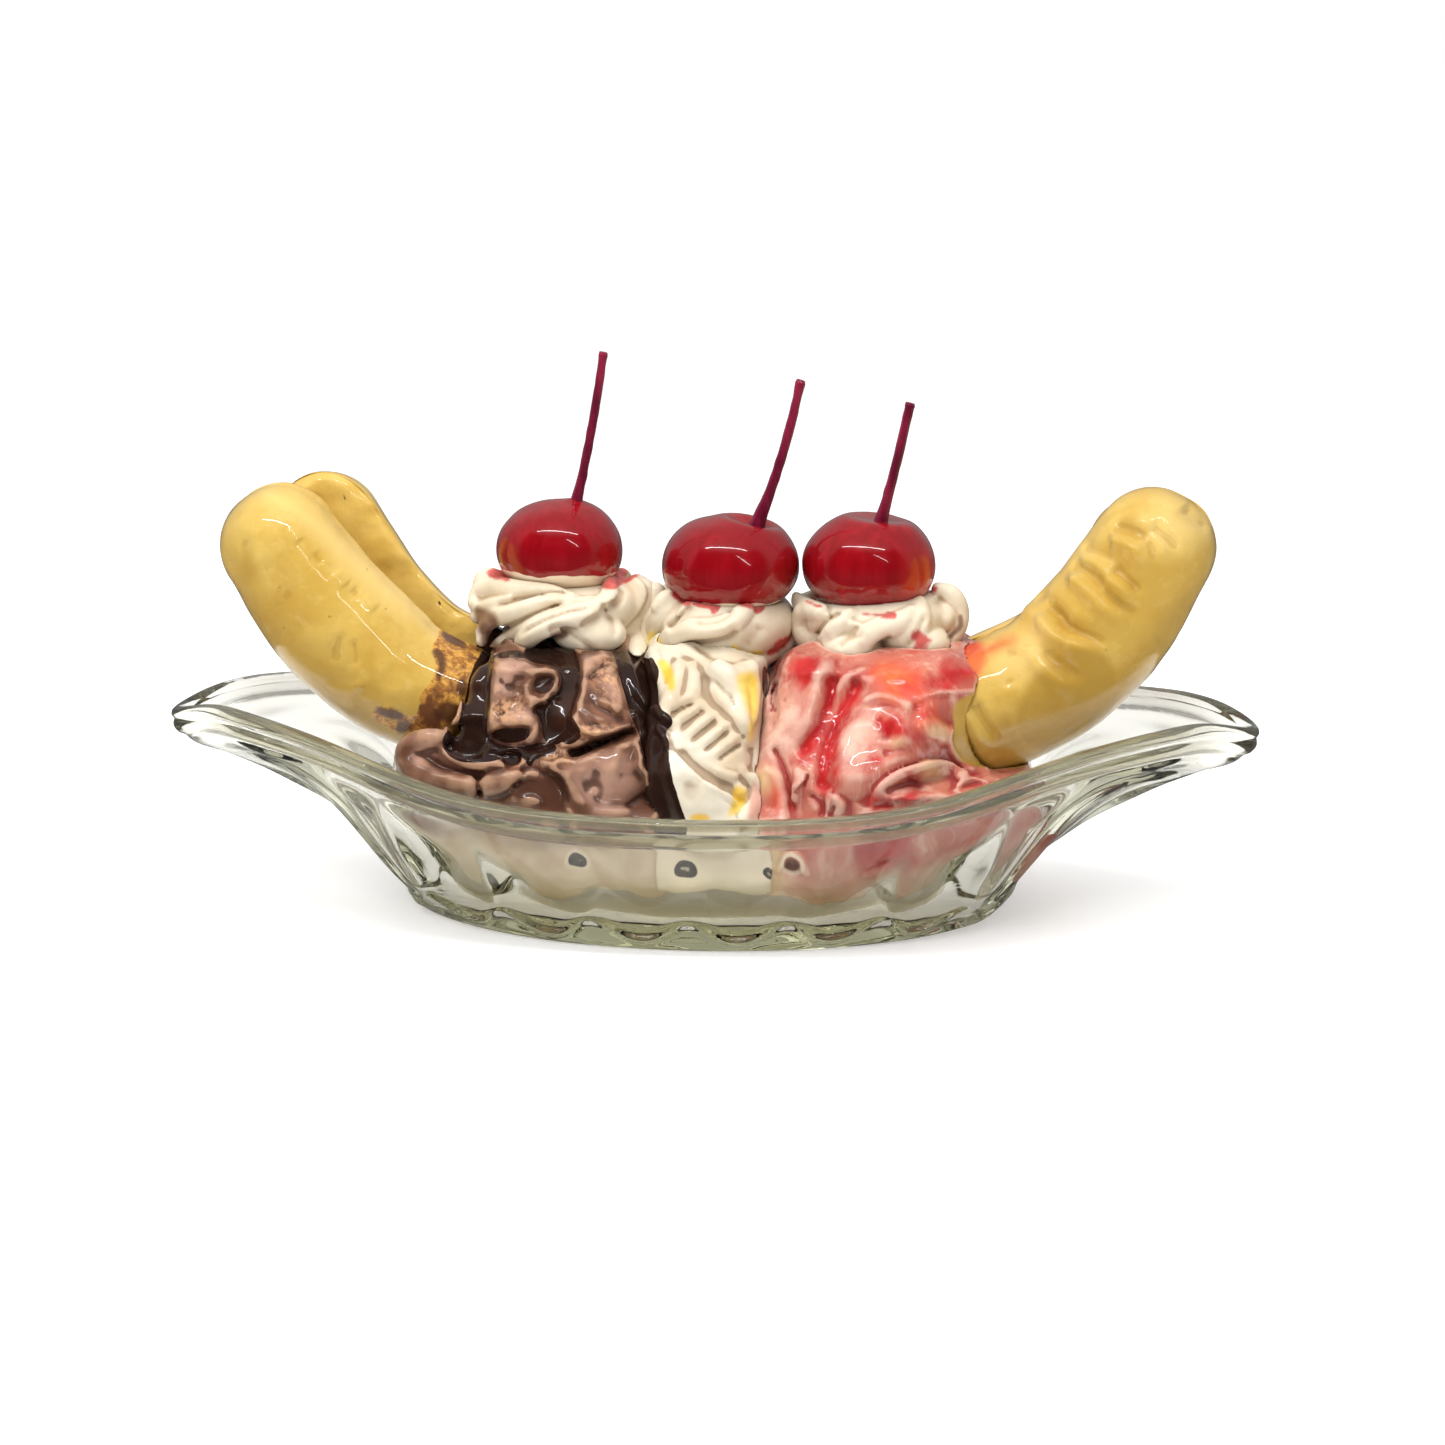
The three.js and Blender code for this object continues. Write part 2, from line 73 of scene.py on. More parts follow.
def seen(x, y, z):
    """Frame coordinates of points in mm."""
    x, y, z = x - EYE[0], y - EYE[1], z - EYE[2]
    w = x * AHEAD[0] + y * AHEAD[1] + z * AHEAD[2]
    u = U0 + FOCAL * (x * RIGHT[0] + y * RIGHT[1]) / w
    v = V0 - FOCAL * (x * UP[0] + y * UP[1] + z * UP[2]) / w
    return u, v


def ray(u, v):
    d = AHEAD + RIGHT * (u - U0) / FOCAL + UP * (V0 - v) / FOCAL
    return d / np.linalg.norm(d)


def at_depth(u, v, y):
    d = ray(u, v)
    return EYE + d * (y - EYE[1]) / d[1]


cam_data = bpy.data.cameras.new("camera")
cam_data.sensor_width = 36.0
cam_data.lens = FOCAL / SIDE * 36.0
cam_data.shift_x = (SIDE / 2 - U0) / SIDE
cam_data.shift_y = (V0 - SIDE / 2) / SIDE
cam_data.clip_start, cam_data.clip_end = 0.01, 50.0
camera = bpy.data.objects.new("camera", cam_data)
bpy.context.scene.collection.objects.link(camera)
from mathutils import Matrix
camera.matrix_world = Matrix((
    (RIGHT[0], UP[0], BACK[0], EYE[0] * MM),
    (RIGHT[1], UP[1], BACK[1], EYE[1] * MM),
    (RIGHT[2], UP[2], BACK[2], EYE[2] * MM),
    (0, 0, 0, 1)))
bpy.context.scene.camera = camera


# ------------------------------------------------------------------ numbers
def smooth(a, b, t):
    k = np.clip((np.asarray(t, float) - a) / (b - a), 0, 1)
    return k * k * (3 - 2 * k)


def curve(points, step=None, count=None):
    """Catmull-Rom through rows, resampled evenly."""
    p = np.asarray(points, float)
    if len(p) == 2:
        t = np.linspace(0, 1, count or 8)[:, None]
        return p[0] * (1 - t) + p[1] * t
    q = np.vstack([2 * p[0] - p[1], p, 2 * p[-1] - p[-2]])
    out = []
    for i in range(1, len(q) - 2):
        a, b, c, d = q[i - 1], q[i], q[i + 1], q[i + 2]
        t = np.linspace(0, 1, 12, endpoint=False)[:, None]
        out.append(0.5 * (2 * b + (c - a) * t + (2 * a - 5 * b + 4 * c - d) * t * t + (3 * b - a - 3 * c + d) * t ** 3))
    out = np.vstack(out + [q[-2][None]])
    k = min(3, out.shape[1])
    length = np.r_[0, np.cumsum(np.linalg.norm(np.diff(out[:, :k], axis=0), axis=1))]
    n = count or max(3, int(length[-1] / step) + 1)
    want = np.linspace(0, length[-1], n)
    return np.stack([np.interp(want, length, out[:, c]) for c in range(out.shape[1])], 1)


def hashed(ix, iy, iz, seed):
    h = (ix.astype(np.int64) * 374761393 + iy.astype(np.int64) * 668265263 + iz.astype(np.int64) * 2147483647 + seed * 1274126177) & 0xFFFFFFFF
    h = ((h ^ (h >> 13)) * 1274126177) & 0xFFFFFFFF
    h = ((h ^ (h >> 16)) * 2246822519) & 0xFFFFFFFF
    return (h ^ (h >> 15)) / 4294967295.0 * 2 - 1


def noise(p, size, seed=0):
    """Smooth noise from -1 to 1 at points in mm, with lumps of that size."""
    q = p / size
    i = np.floor(q).astype(np.int64)
    f = q - i
    f = f * f * f * (f * (f * 6 - 15) + 10)
    r = 0
    for dx in (0, 1):
        wx = f[:, 0] if dx else 1 - f[:, 0]
        for dy in (0, 1):
            wy = f[:, 1] if dy else 1 - f[:, 1]
            for dz in (0, 1):
                wz = f[:, 2] if dz else 1 - f[:, 2]
                r = r + wx * wy * wz * hashed(i[:, 0] + dx, i[:, 1] + dy, i[:, 2] + dz, seed)
    return r


def line_distance(u, v, pts):
    """Distance to a line drawn in the frame, which side of it, and how far along."""
    best = np.full(u.shape, 1e9, np.float32)
    side = np.zeros(u.shape, np.float32)
    along = np.zeros(u.shape, np.float32)
    n = len(pts) - 1
    for i in range(n):
        (ax, ay), (bx, by) = pts[i][:2], pts[i + 1][:2]
        ex, ey = bx - ax, by - ay
        l2 = ex * ex + ey * ey + 1e-9
        t = np.clip(((u - ax) * ex + (v - ay) * ey) / l2, 0, 1)
        dx, dy = u - ax - ex * t, v - ay - ey * t
        d = np.sqrt(dx * dx + dy * dy)
        near = d < best
        best = np.where(near, d, best)
        side = np.where(near, np.sign(ex * dy - ey * dx), side)
        along = np.where(near, (i + t) / n, along)
    return best, side, along


def area_distance(u, v, poly):
    """Signed distance to a closed outline in the frame, negative inside."""
    best = np.full(u.shape, 1e9, np.float32)
    inside = np.zeros(u.shape, bool)
    n = len(poly)
    for i in range(n):
        (ax, ay), (bx, by) = poly[i], poly[(i + 1) % n]
        ex, ey = bx - ax, by - ay
        t = np.clip(((u - ax) * ex + (v - ay) * ey) / (ex * ex + ey * ey + 1e-9), 0, 1)
        dx, dy = u - ax - ex * t, v - ay - ey * t
        best = np.minimum(best, dx * dx + dy * dy)
        cross = ((ay > v) != (by > v))
        with np.errstate(divide="ignore", invalid="ignore"):
            inside ^= cross & (u < (bx - ax) * (v - ay) / (by - ay + 1e-12) + ax)
    best = np.sqrt(best)
    return np.where(inside, -best, best)


def rounded(poly, times=2):
    """Corner cutting, so an outline given by few points turns smoothly."""
    p = np.asarray(poly, float)
    for _ in range(times):
        q = np.roll(p, -1, 0)
        p = np.stack([p * 0.75 + q * 0.25, p * 0.25 + q * 0.75], 1).reshape(-1, 2)
    return p


# --------------------------------------------------------------------- clay
def smin(a, b, k):
    if k <= 0:
        return np.minimum(a, b)
    h = np.maximum(k - np.abs(a - b), 0) / k
    return np.minimum(a, b) - h * h * h * (k / 6)


def smax(a, b, k):
    return -smin(-a, -b, k)


class Clay:
    """A distance field on a grid, worked with tools that add, cut and crease."""

    def __init__(self, lo, hi, step):
        self.step = step
        self.lo = np.array(lo, float)
        n = [int(round((h - l) / step)) + 1 for l, h in zip(lo, hi)]
        self.ax = [(l + step * np.arange(m)).astype(np.float32) for l, m in zip(lo, n)]
        self.f = np.full(n, 30.0, np.float32)
        self.list = None

    def window(self, lo, hi):
        s = []
        for c in range(3):
            a = max(0, int(math.floor((lo[c] - self.lo[c]) / self.step)))
            b = min(self.f.shape[c], int(math.ceil((hi[c] - self.lo[c]) / self.step)) + 1)
            if b <= a:
                return None
            s.append(slice(a, b))
        return tuple(s)

    def axes(self, s):
        return self.ax[0][s[0]][:, None, None], self.ax[1][s[1]][None, :, None], self.ax[2][s[2]][None, None, :]

    def add(self, fn, k=0.0, lo=None, hi=None):
        s = self.window(lo if lo is not None else self.lo, hi if hi is not None else self.lo + 1e4)
        self.f[s] = smin(self.f[s], fn(*self.axes(s)).astype(np.float32), k)
        self.list = None

    def keep(self, fn, k=0.0):
        s = self.window(self.lo, self.lo + 1e4)
        self.f[s] = smax(self.f[s], fn(*self.axes(s)).astype(np.float32), k)
        self.list = None

    def even(self):
        """Turns a rough field back into distances near the surface."""
        g = np.gradient(self.f, self.step)
        m = np.sqrt(g[0] ** 2 + g[1] ** 2 + g[2] ** 2)
        self.f = np.clip(self.f / np.maximum(m, 0.25), -30, 30).astype(np.float32)
        self.list = None

    # ---- tools that work in space
    def rolls(self, P, R, H=None, N=None, margin=2.0):
        P, R = np.asarray(P, float), np.asarray(R, float)
        s = self.window(P.min(0) - R.max() - margin, P.max(0) + R.max() + margin)
        if s is None:
            return None, None
        d = np.full([q.stop - q.start for q in s], 30.0, np.float32)
        for i in range(len(P) - 1):
            a, b = P[i], P[i + 1]
            r = max(R[i], R[i + 1]) + margin
            w = self.window(np.minimum(a, b) - r, np.maximum(a, b) + r)
            if w is None:
                continue
            X, Y, Z = self.axes(w)
            e = b - a
            l2 = float(e @ e) + 1e-9
            t = np.clip(((X - a[0]) * e[0] + (Y - a[1]) * e[1] + (Z - a[2]) * e[2]) / l2, 0, 1)
            qx, qy, qz = X - a[0] - e[0] * t, Y - a[1] - e[1] * t, Z - a[2] - e[2] * t
            rr = R[i] + (R[i + 1] - R[i]) * t
            q2 = qx * qx + qy * qy + qz * qz
            if H is None:
                dd = np.sqrt(q2) - rr
            else:
                n = N[i] + N[i + 1]
                n = n / (np.linalg.norm(n) + 1e-9)
                hh = H[i] + (H[i + 1] - H[i]) * t
                qn = qx * n[0] + qy * n[1] + qz * n[2]
                qr = np.maximum(q2 - qn * qn, 0)
                qn = qn * qn
                k0 = np.sqrt(qr / rr ** 2 + qn / hh ** 2)
                k1 = np.sqrt(qr / rr ** 4 + qn / hh ** 4)
                dd = k0 * (k0 - 1) / np.maximum(k1, 1e-5)
            sub = tuple(slice(w[c].start - s[c].start, w[c].stop - s[c].start) for c in range(3))
            d[sub] = np.minimum(d[sub], dd.astype(np.float32))
        return s, d

    def roll(self, P, R, k=0.8, H=None, N=None):
        s, d = self.rolls(P, R, H, N, margin=k + 1.5)
        if s is not None:
            self.f[s] = smin(self.f[s], d, k)
            self.list = None

    def gouge(self, P, R, k=0.8):
        s, d = self.rolls(P, R, margin=k + 1.5)
        if s is not None:
            self.f[s] = smax(self.f[s], -d, k)
            self.list = None

    def value(self, p):
        q = (np.asarray(p, float) - self.lo) / self.step
        n = np.array(self.f.shape)
        i = np.clip(np.floor(q).astype(int), 0, n - 2)
        t = np.clip(q - i, 0, 1)
        r = 0
        for c in range(8):
            o = np.array([(c >> 2) & 1, (c >> 1) & 1, c & 1])
            w = np.prod(np.where(o, t, 1 - t), axis=-1)
            j = i + o
            r = r + w * self.f[j[..., 0], j[..., 1], j[..., 2]]
        return r

    def normal(self, p):
        e = self.step
        g = np.array([self.value(p + o) - self.value(p - o) for o in np.eye(3) * e])
        return g / (np.linalg.norm(g) + 1e-9)

    def touch(self, u, v):
        """Where the line of sight through (u, v) meets the clay, or comes closest."""
        d = ray(u, v)
        t0 = (self.lo[1] - EYE[1]) / d[1]
        t1 = (self.ax[1][-1] - EYE[1]) / d[1]
        t = np.arange(t0, t1, 0.35)
        p = EYE + d * t[:, None]
        f = self.value(p)
        out = ((p < self.lo) | (p > [a[-1] for a in self.ax])).any(1)
        f = np.where(out, 30, f)
        hit = np.flatnonzero(f < 0)
        i = hit[0] if len(hit) else int(np.argmin(f))
        return p[i]

    def lay(self, rows, k=0.8, flat=None, lift=0.0, step=1.1, cut=False):
        """A roll laid on the surface along frame points [u, v, radius in mm, lift in mm]."""
        rows = np.array([list(r) + [0.0] * (4 - len(r)) for r in rows], float)
        c = curve(rows, step=step * 4.5)
        P, N = [], []
        for u, v, r, up in c:
            p = self.touch(u, v)
            n = self.normal(p)
            P.append(p + n * (up + lift))
            N.append(n)
        P, N = np.array(P), np.array(N)
        for _ in range(2):                      # take the jumps out of the depth
            P[1:-1] = (P[:-2] + 2 * P[1:-1] + P[2:]) / 4
            N[1:-1] = (N[:-2] + 2 * N[1:-1] + N[2:]) / 4
        N /= np.linalg.norm(N, axis=1)[:, None] + 1e-9
        R = np.maximum(c[:, 2], 0.25)
        if cut:
            self.gouge(P, R, k)
        elif flat:
            self.roll(P, R, k, H=R * flat, N=N)
        else:
            self.roll(P, R, k)
        return P

    # ---- tools that work on the skin, drawn in the frame
    def skin(self):
        if self.list is None:
            idx = np.flatnonzero(np.abs(self.f) < 6)
            i, j, k = np.unravel_index(idx, self.f.shape)
            x, y, z = self.ax[0][i], self.ax[1][j], self.ax[2][k]
            u, v = seen(x.astype(np.float64), y.astype(np.float64), z.astype(np.float64))
            self.list = (idx, u.astype(np.float32), v.astype(np.float32), x, y, z)
        return self.list

    def pick(self, pts, pad):
        idx, u, v, x, y, z = self.skin()
        p = np.asarray(pts)
        m = (u > p[:, 0].min() - pad) & (u < p[:, 0].max() + pad) & (v > p[:, 1].min() - pad) & (v < p[:, 1].max() + pad)
        m = np.flatnonzero(m)
        return idx[m], u[m], v[m]

    def crease(self, pts, width, depth, ends=0.12, shape="round"):
        """depth in mm goes in, width in frame units. 'fold' leaves one side standing."""
        c = curve(pts, step=4)
        idx, u, v = self.pick(c, width * 4)
        d, side, along = line_distance(u, v, c)
        fade = smooth(0, ends, along) * smooth(1, 1 - ends, along) if ends > 0 else 1
        if shape == "round":
            g = np.exp(-(d / width) ** 2)
        elif shape == "sharp":
            g = np.exp(-(d / max(width, 3.4)) ** 1.35) * min(1.0, 0.35 + width / 5.2)
        else:                                  # fold: the right-hand side of the line stands up
            sd = d * side
            g = -np.where(sd > 0, np.exp(-sd / (width * 2.2)), 0) * 1.0 + 0.55 * np.exp(-(np.minimum(sd, 0) / width) ** 2) * (sd <= 0)
            g = g * (1 - np.exp(-(d / (0.25 * width)) ** 2) * 0.5)
        f = self.f.reshape(-1)
        f[idx] += (depth * fade * g).astype(np.float32)

    def slab(self, poly, thick, k=0.6, edge=1.0, ragged=0.0, seed=3):
        """Raises an outlined area by thick mm (or sinks it when thick is negative)."""
        p = rounded(poly)
        idx, u, v = self.pick(p, abs(thick) * 5 + 8)
        if ragged:
            q = np.stack([u, v, np.zeros_like(u)], 1).astype(float)
            u = u + ragged * noise(q, 9, seed)
            v = v + ragged * noise(q, 7, seed + 1)
        a = area_distance(u, v, p) / 4.6 * edge
        f = self.f.reshape(-1)
        if thick > 0:
            f[idx] = smin(f[idx], smax(f[idx] - thick, a, k), k * 0.5)
        else:
            f[idx] = smax(f[idx], smin(f[idx] - thick, -a, k), k * 0.5)

    def swell(self, poly, thick, width=8.0, tilt=(0, 0), ragged=0.0, seed=3):
        """Raises an outlined area by thick mm with a soft shoulder width frame units wide.
        tilt leans its top, in mm for each 100 frame units across and down."""
        p = rounded(poly)
        idx, u, v = self.pick(p, width * 2 + ragged * 2)
        if ragged:
            q = np.stack([u, v, np.zeros_like(u)], 1).astype(float)
            du, dv = ragged * noise(q, 9, seed), ragged * noise(q, 7, seed + 1)
        else:
            du = dv = 0
        a = area_distance(u + du, v + dv, p)
        c = p.mean(0)
        h = thick + ((u - c[0]) * tilt[0] + (v - c[1]) * tilt[1]) / 100
        self.f.reshape(-1)[idx] -= (h * smooth(width * 0.5, -width * 0.5, a)).astype(np.float32)

    def outline(self, poly, k=2.0):
        """Trims the clay to an outline drawn in the frame."""
        s = self.window(self.lo, self.lo + 1e4)
        X, Y, Z = self.axes(s)
        u, v = seen(X + 0 * Y + 0 * Z, Y + 0 * X, Z + 0 * X)
        a = area_distance(u.reshape(-1).astype(np.float32), v.reshape(-1).astype(np.float32), rounded(poly, 1)) / 4.6
        a = a.reshape(self.f.shape).astype(np.float32)
        w = smooth(24.0, 30.0, Z).astype(np.float32)
        self.f = smax(self.f, a, k) * w + smax(self.f, a, 0.5) * (1 - w)
        self.list = None

    def mirrored(self):
        """The front half with its mirror image behind it. The last layer lies at y = 0."""
        g = Clay.__new__(Clay)
        g.step, g.lo, g.list = self.step, self.lo, None
        g.f = np.concatenate([self.f, self.f[:, -2::-1, :]], 1)
        g.ax = [self.ax[0], np.concatenate([self.ax[1], -self.ax[1][-2::-1]]), self.ax[2]]
        return g

    def mesh(self):
        f = self.f.copy()
        f[0], f[-1] = 5, 5
        f[:, 0], f[:, -1] = 5, 5
        f[:, :, 0], f[:, :, -1] = 5, 5
        grid = vdb.FloatGrid(6.0)
        grid.copyFromArray(np.clip(f, -6, 6))
        p, q = grid.convertToQuads(0.0)
        return p.astype(float) * self.step + self.lo, q[:, ::-1].astype(int)


def largest(p, q):
    """Keeps the biggest connected body of a quad mesh."""
    label = np.arange(len(p))
    while True:
        low = label[q].min(1)
        new = label.copy()
        for c in range(4):
            np.minimum.at(new, q[:, c], low)
        new = new[new]
        if (new == label).all():
            break
        label = new
    ids, count = np.unique(label[q[:, 0]], return_counts=True)
    keep = label == ids[np.argmax(count)]
    renum = np.cumsum(keep) - 1
    return p[keep], renum[q[keep[q[:, 0]]]]


def relax(p, q, times=2, hold=0.0):
    """Evens out the voxel steps: each point moves towards its neighbours."""
    e = np.vstack([q[:, [0, 1]], q[:, [1, 2]], q[:, [2, 3]], q[:, [3, 0]]])
    n = len(p)
    count = np.bincount(e[:, 0], minlength=n) + np.bincount(e[:, 1], minlength=n)
    for it in range(times):
        for w in (0.5, -0.52 * (1 - hold)):
            s = np.stack([np.bincount(e[:, 0], p[e[:, 1], c], n) + np.bincount(e[:, 1], p[e[:, 0], c], n) for c in range(3)], 1)
            p = p + w * (s / np.maximum(count, 1)[:, None] - p)
    return p


def normals(p, faces):
    a = p[faces[:, 0]]
    if faces.shape[1] == 4:
        m = np.cross(p[faces[:, 2]] - a, p[faces[:, 3]] - p[faces[:, 1]])
    else:
        m = np.cross(p[faces[:, 1]] - a, p[faces[:, 2]] - a)
    n = np.zeros_like(p)
    for c in range(faces.shape[1]):
        for k in range(3):
            n[:, k] += np.bincount(faces[:, c], m[:, k], len(p))
    return n / (np.linalg.norm(n, axis=1)[:, None] + 1e-12)


def outward(p, quads, tris=None):
    """Turns the faces of a closed skin so that they look outwards."""
    a, b, c, d = (p[quads[:, i]] for i in range(4))
    v = (np.cross(a, b) * c).sum() + (np.cross(a, c) * d).sum()
    if v < 0:
        return quads[:, ::-1], (None if tris is None else tris[:, ::-1])
    return quads, tris


def bending(p, faces, n, times=6):
    """How much the surface bulges (positive) or sinks (negative) over a few steps of the mesh."""
    e = np.vstack([faces[:, [c, (c + 1) % faces.shape[1]]] for c in range(faces.shape[1])])
    count = np.bincount(e[:, 0], minlength=len(p)) + np.bincount(e[:, 1], minlength=len(p))
    s = p.copy()
    for _ in range(times):
        t = np.stack([np.bincount(e[:, 0], s[e[:, 1], c], len(p)) + np.bincount(e[:, 1], s[e[:, 0], c], len(p)) for c in range(3)], 1)
        s = t / np.maximum(count, 1)[:, None]
    return ((p - s) * n).sum(1)


def make(name, p, faces, material, attributes=None, tris=None):
    """A smooth-shaded Blender mesh from points in mm."""
    mesh = bpy.data.meshes.new(name)
    faces = np.asarray(faces)
    total = len(faces) * faces.shape[1]
    extra = 0 if tris is None else len(tris)
    mesh.vertices.add(len(p))
    mesh.vertices.foreach_set("co", (np.asarray(p) * MM).astype(np.float32).ravel())
    loops = faces.ravel() if tris is None else np.r_[faces.ravel(), np.asarray(tris).ravel()]
    mesh.loops.add(len(loops))
    mesh.loops.foreach_set("vertex_index", loops.astype(np.int32))
    starts = np.arange(len(faces)) * faces.shape[1]
    if extra:
        starts = np.r_[starts, total + np.arange(extra) * 3]
    mesh.polygons.add(len(faces) + extra)
    mesh.polygons.foreach_set("loop_start", starts.astype(np.int32))
    mesh.update(calc_edges=True)
    mesh.validate()
    mesh.polygons.foreach_set("use_smooth", np.ones(len(mesh.polygons), bool))
    for key, values in (attributes or {}).items():
        a = mesh.attributes.new(key, "FLOAT", "POINT")
        a.data.foreach_set("value", np.asarray(values, np.float32))
    mesh.materials.append(material)
    o = bpy.data.objects.new(name, mesh)
    bpy.context.scene.collection.objects.link(o)
    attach(o, "root")
    return o


# ---------------------------------------------------------------- materials
class Nodes:
    """Short forms for building a node material."""

    def __init__(self, name):
        self.mat = bpy.data.materials.new(name)
        self.mat.use_nodes = True
        self.tree = self.mat.node_tree
        self.tree.nodes.clear()
        self.out = self.tree.nodes.new("ShaderNodeOutputMaterial")
        self.bsdf = self.tree.nodes.new("ShaderNodeBsdfPrincipled")
        self.tree.links.new(self.bsdf.outputs[0], self.out.inputs["Surface"])
        self.coord = self.tree.nodes.new("ShaderNodeTexCoord")

    def put(self, socket, value):
        if hasattr(value, "is_output"):
            self.tree.links.new(value, socket)
        elif isinstance(value, (tuple, list)) and len(value) == 3 and socket.type == "RGBA":
            socket.default_value = (*value, 1)
        else:
            socket.default_value = value

    def set(self, **kw):
        for k, v in kw.items():
            self.put(self.bsdf.inputs[k.replace("_", " ")], v)
        return self

    def noise(self, scale, detail=3, rough=0.5, distort=0.0, out="Fac", stretch=None, where=None):
        n = self.tree.nodes.new("ShaderNodeTexNoise")
        vec = where or self.coord.outputs["Object"]
        if stretch:
            m = self.tree.nodes.new("ShaderNodeMapping")
            m.inputs["Scale"].default_value = stretch[:3]
            if len(stretch) > 3:
                m.inputs["Rotation"].default_value = stretch[3:]
            self.tree.links.new(vec, m.inputs["Vector"])
            vec = m.outputs[0]
        self.tree.links.new(vec, n.inputs["Vector"])
        n.inputs["Scale"].default_value = scale
        n.inputs["Detail"].default_value = detail
        n.inputs["Roughness"].default_value = rough
        n.inputs["Distortion"].default_value = distort
        return n.outputs[out]

    def cells(self, scale, feature="F1", rnd=1.0, out="Distance"):
        n = self.tree.nodes.new("ShaderNodeTexVoronoi")
        n.feature = feature
        self.tree.links.new(self.coord.outputs["Object"], n.inputs["Vector"])
        n.inputs["Scale"].default_value = scale
        n.inputs["Randomness"].default_value = rnd
        return n.outputs[out]

    def attr(self, name):
        n = self.tree.nodes.new("ShaderNodeAttribute")
        n.attribute_type = "GEOMETRY"
        n.attribute_name = name
        return n.outputs["Fac"]

    def math(self, op, a, b=0.0, c=None, clamp=False):
        n = self.tree.nodes.new("ShaderNodeMath")
        n.operation = op
        n.use_clamp = clamp
        self.put(n.inputs[0], a)
        self.put(n.inputs[1], b)
        if c is not None:
            self.put(n.inputs[2], c)
        return n.outputs[0]

    def ramp(self, value, lo, hi, a=0.0, b=1.0, kind="SMOOTHSTEP"):
        n = self.tree.nodes.new("ShaderNodeMapRange")
        n.interpolation_type = kind
        self.put(n.inputs["Value"], value)
        n.inputs["From Min"].default_value = lo
        n.inputs["From Max"].default_value = hi
        n.inputs["To Min"].default_value = a
        n.inputs["To Max"].default_value = b
        return n.outputs["Result"]

    def mix(self, fac, a, b, how="MIX"):
        n = self.tree.nodes.new("ShaderNodeMix")
        n.data_type = "RGBA"
        n.blend_type = how
        n.clamp_factor = True
        self.put(n.inputs[0], fac)
        self.put(n.inputs[6], a)
        self.put(n.inputs[7], b)
        return n.outputs[2]

    def edge(self, value, jitter, width, at=0.5):
        """A mask with a crisp, uneven edge: jitter is a noise from 0 to 1 scaled to its strength."""
        return self.ramp(self.math("ADD", value, jitter), at - width, at + width)

    def wobble(self, scale, amount, detail=2):
        return self.math("MULTIPLY", self.math("SUBTRACT", self.noise(scale, detail), 0.5), amount)

    def bump(self, height, strength, distance, then=None):
        n = self.tree.nodes.new("ShaderNodeBump")
        self.put(n.inputs["Height"], height)
        n.inputs["Strength"].default_value = strength
        n.inputs["Distance"].default_value = distance
        if then is not None:
            self.tree.links.new(then, n.inputs["Normal"])
        return n.outputs[0]

    def done(self):
        return self.mat


def srgb(r, g, b):
    def f(c):
        c /= 255.0
        return c / 12.92 if c <= 0.04045 else ((c + 0.055) / 1.055) ** 2.4
    return (f(r), f(g), f(b))


def glaze(m, rough=0.3, coat=1.0, coat_rough=0.02):
    m.set(Roughness=rough, Coat_Weight=coat, Coat_Roughness=coat_rough, IOR=1.45)
    m.bsdf.inputs["Specular IOR Level"].default_value = 0.15
    m.bsdf.inputs["Coat IOR"].default_value = 1.5
    return m


def glass_material():
    m = Nodes("dish_glass")
    tint = m.mix(m.attr("band"), (0.962, 0.958, 0.935), (0.40, 0.37, 0.26))
    # painted shade: far_wall_shade dims the far wall to grey
    tint = m.mix(m.attr("far_wall_shade"), tint, (0.68, 0.67, 0.64))
    # painted shade: the inner floor and the low middle of the outer wall are tinted dark olive where the scoops' shade
    # falls
    tint = m.mix(m.attr("floor"), tint, (0.72, 0.66, 0.47))
    m.set(Base_Color=tint, Roughness=0.0, IOR=1.5)
    m.put(m.bsdf.inputs["Transmission Weight"], m.ramp(m.attr("band"), 0.0, 1.0, 1.0, 0.72))
    a = m.tree.nodes.new("ShaderNodeVolumeAbsorption")
    a.inputs["Color"].default_value = (0.62, 0.62, 0.42, 1)
    a.inputs["Density"].default_value = 24.0
    m.tree.links.new(a.outputs[0], m.out.inputs["Volume"])
    fine = m.noise(55, 2, 0.4)
    m.set(Normal=m.bump(fine, 0.08, 0.0006))
    return m.done()


def cherry_material():
    m = glaze(Nodes("cherry"), 0.25)
    streak = m.noise(260, 3, 0.5, stretch=(1.6, 1.6, 0.28))
    cloud = m.noise(70, 2, 0.5)
    c = m.mix(m.ramp(streak, 0.35, 0.75), srgb(126, 5, 14), srgb(145, 12, 22))
    c = m.mix(m.ramp(cloud, 0.35, 0.72, 0, 0.6), c, srgb(122, 4, 16))
    seat = m.edge(m.attr("seat"), m.wobble(160, 0.35), 0.06)
    # painted reflection: orange on the faces turned right and down, full only on the third cherry
    c = m.mix(m.math("MULTIPLY", m.attr("orange"), 0.6), c, srgb(205, 60, 30))
    c = m.mix(seat, c, srgb(226, 205, 178))
    m.set(Base_Color=c)
    m.set(Normal=m.bump(m.noise(90, 2, 0.5), 0.10, 0.001))
    m.bsdf.inputs["Subsurface Weight"].default_value = 0.0
    return m.done()


def stem_material():
    m = glaze(Nodes("cherry_stem"), 0.35, 1.0, 0.08)
    c = m.mix(m.ramp(m.noise(300, 3, 0.6, stretch=(1, 1, 0.25)), 0.35, 0.7), srgb(88, 10, 36), srgb(130, 26, 54))
    m.set(Base_Color=c, Normal=m.bump(m.noise(500, 3, 0.6, stretch=(1, 1, 0.2)), 0.25, 0.0006))
    return m.done()


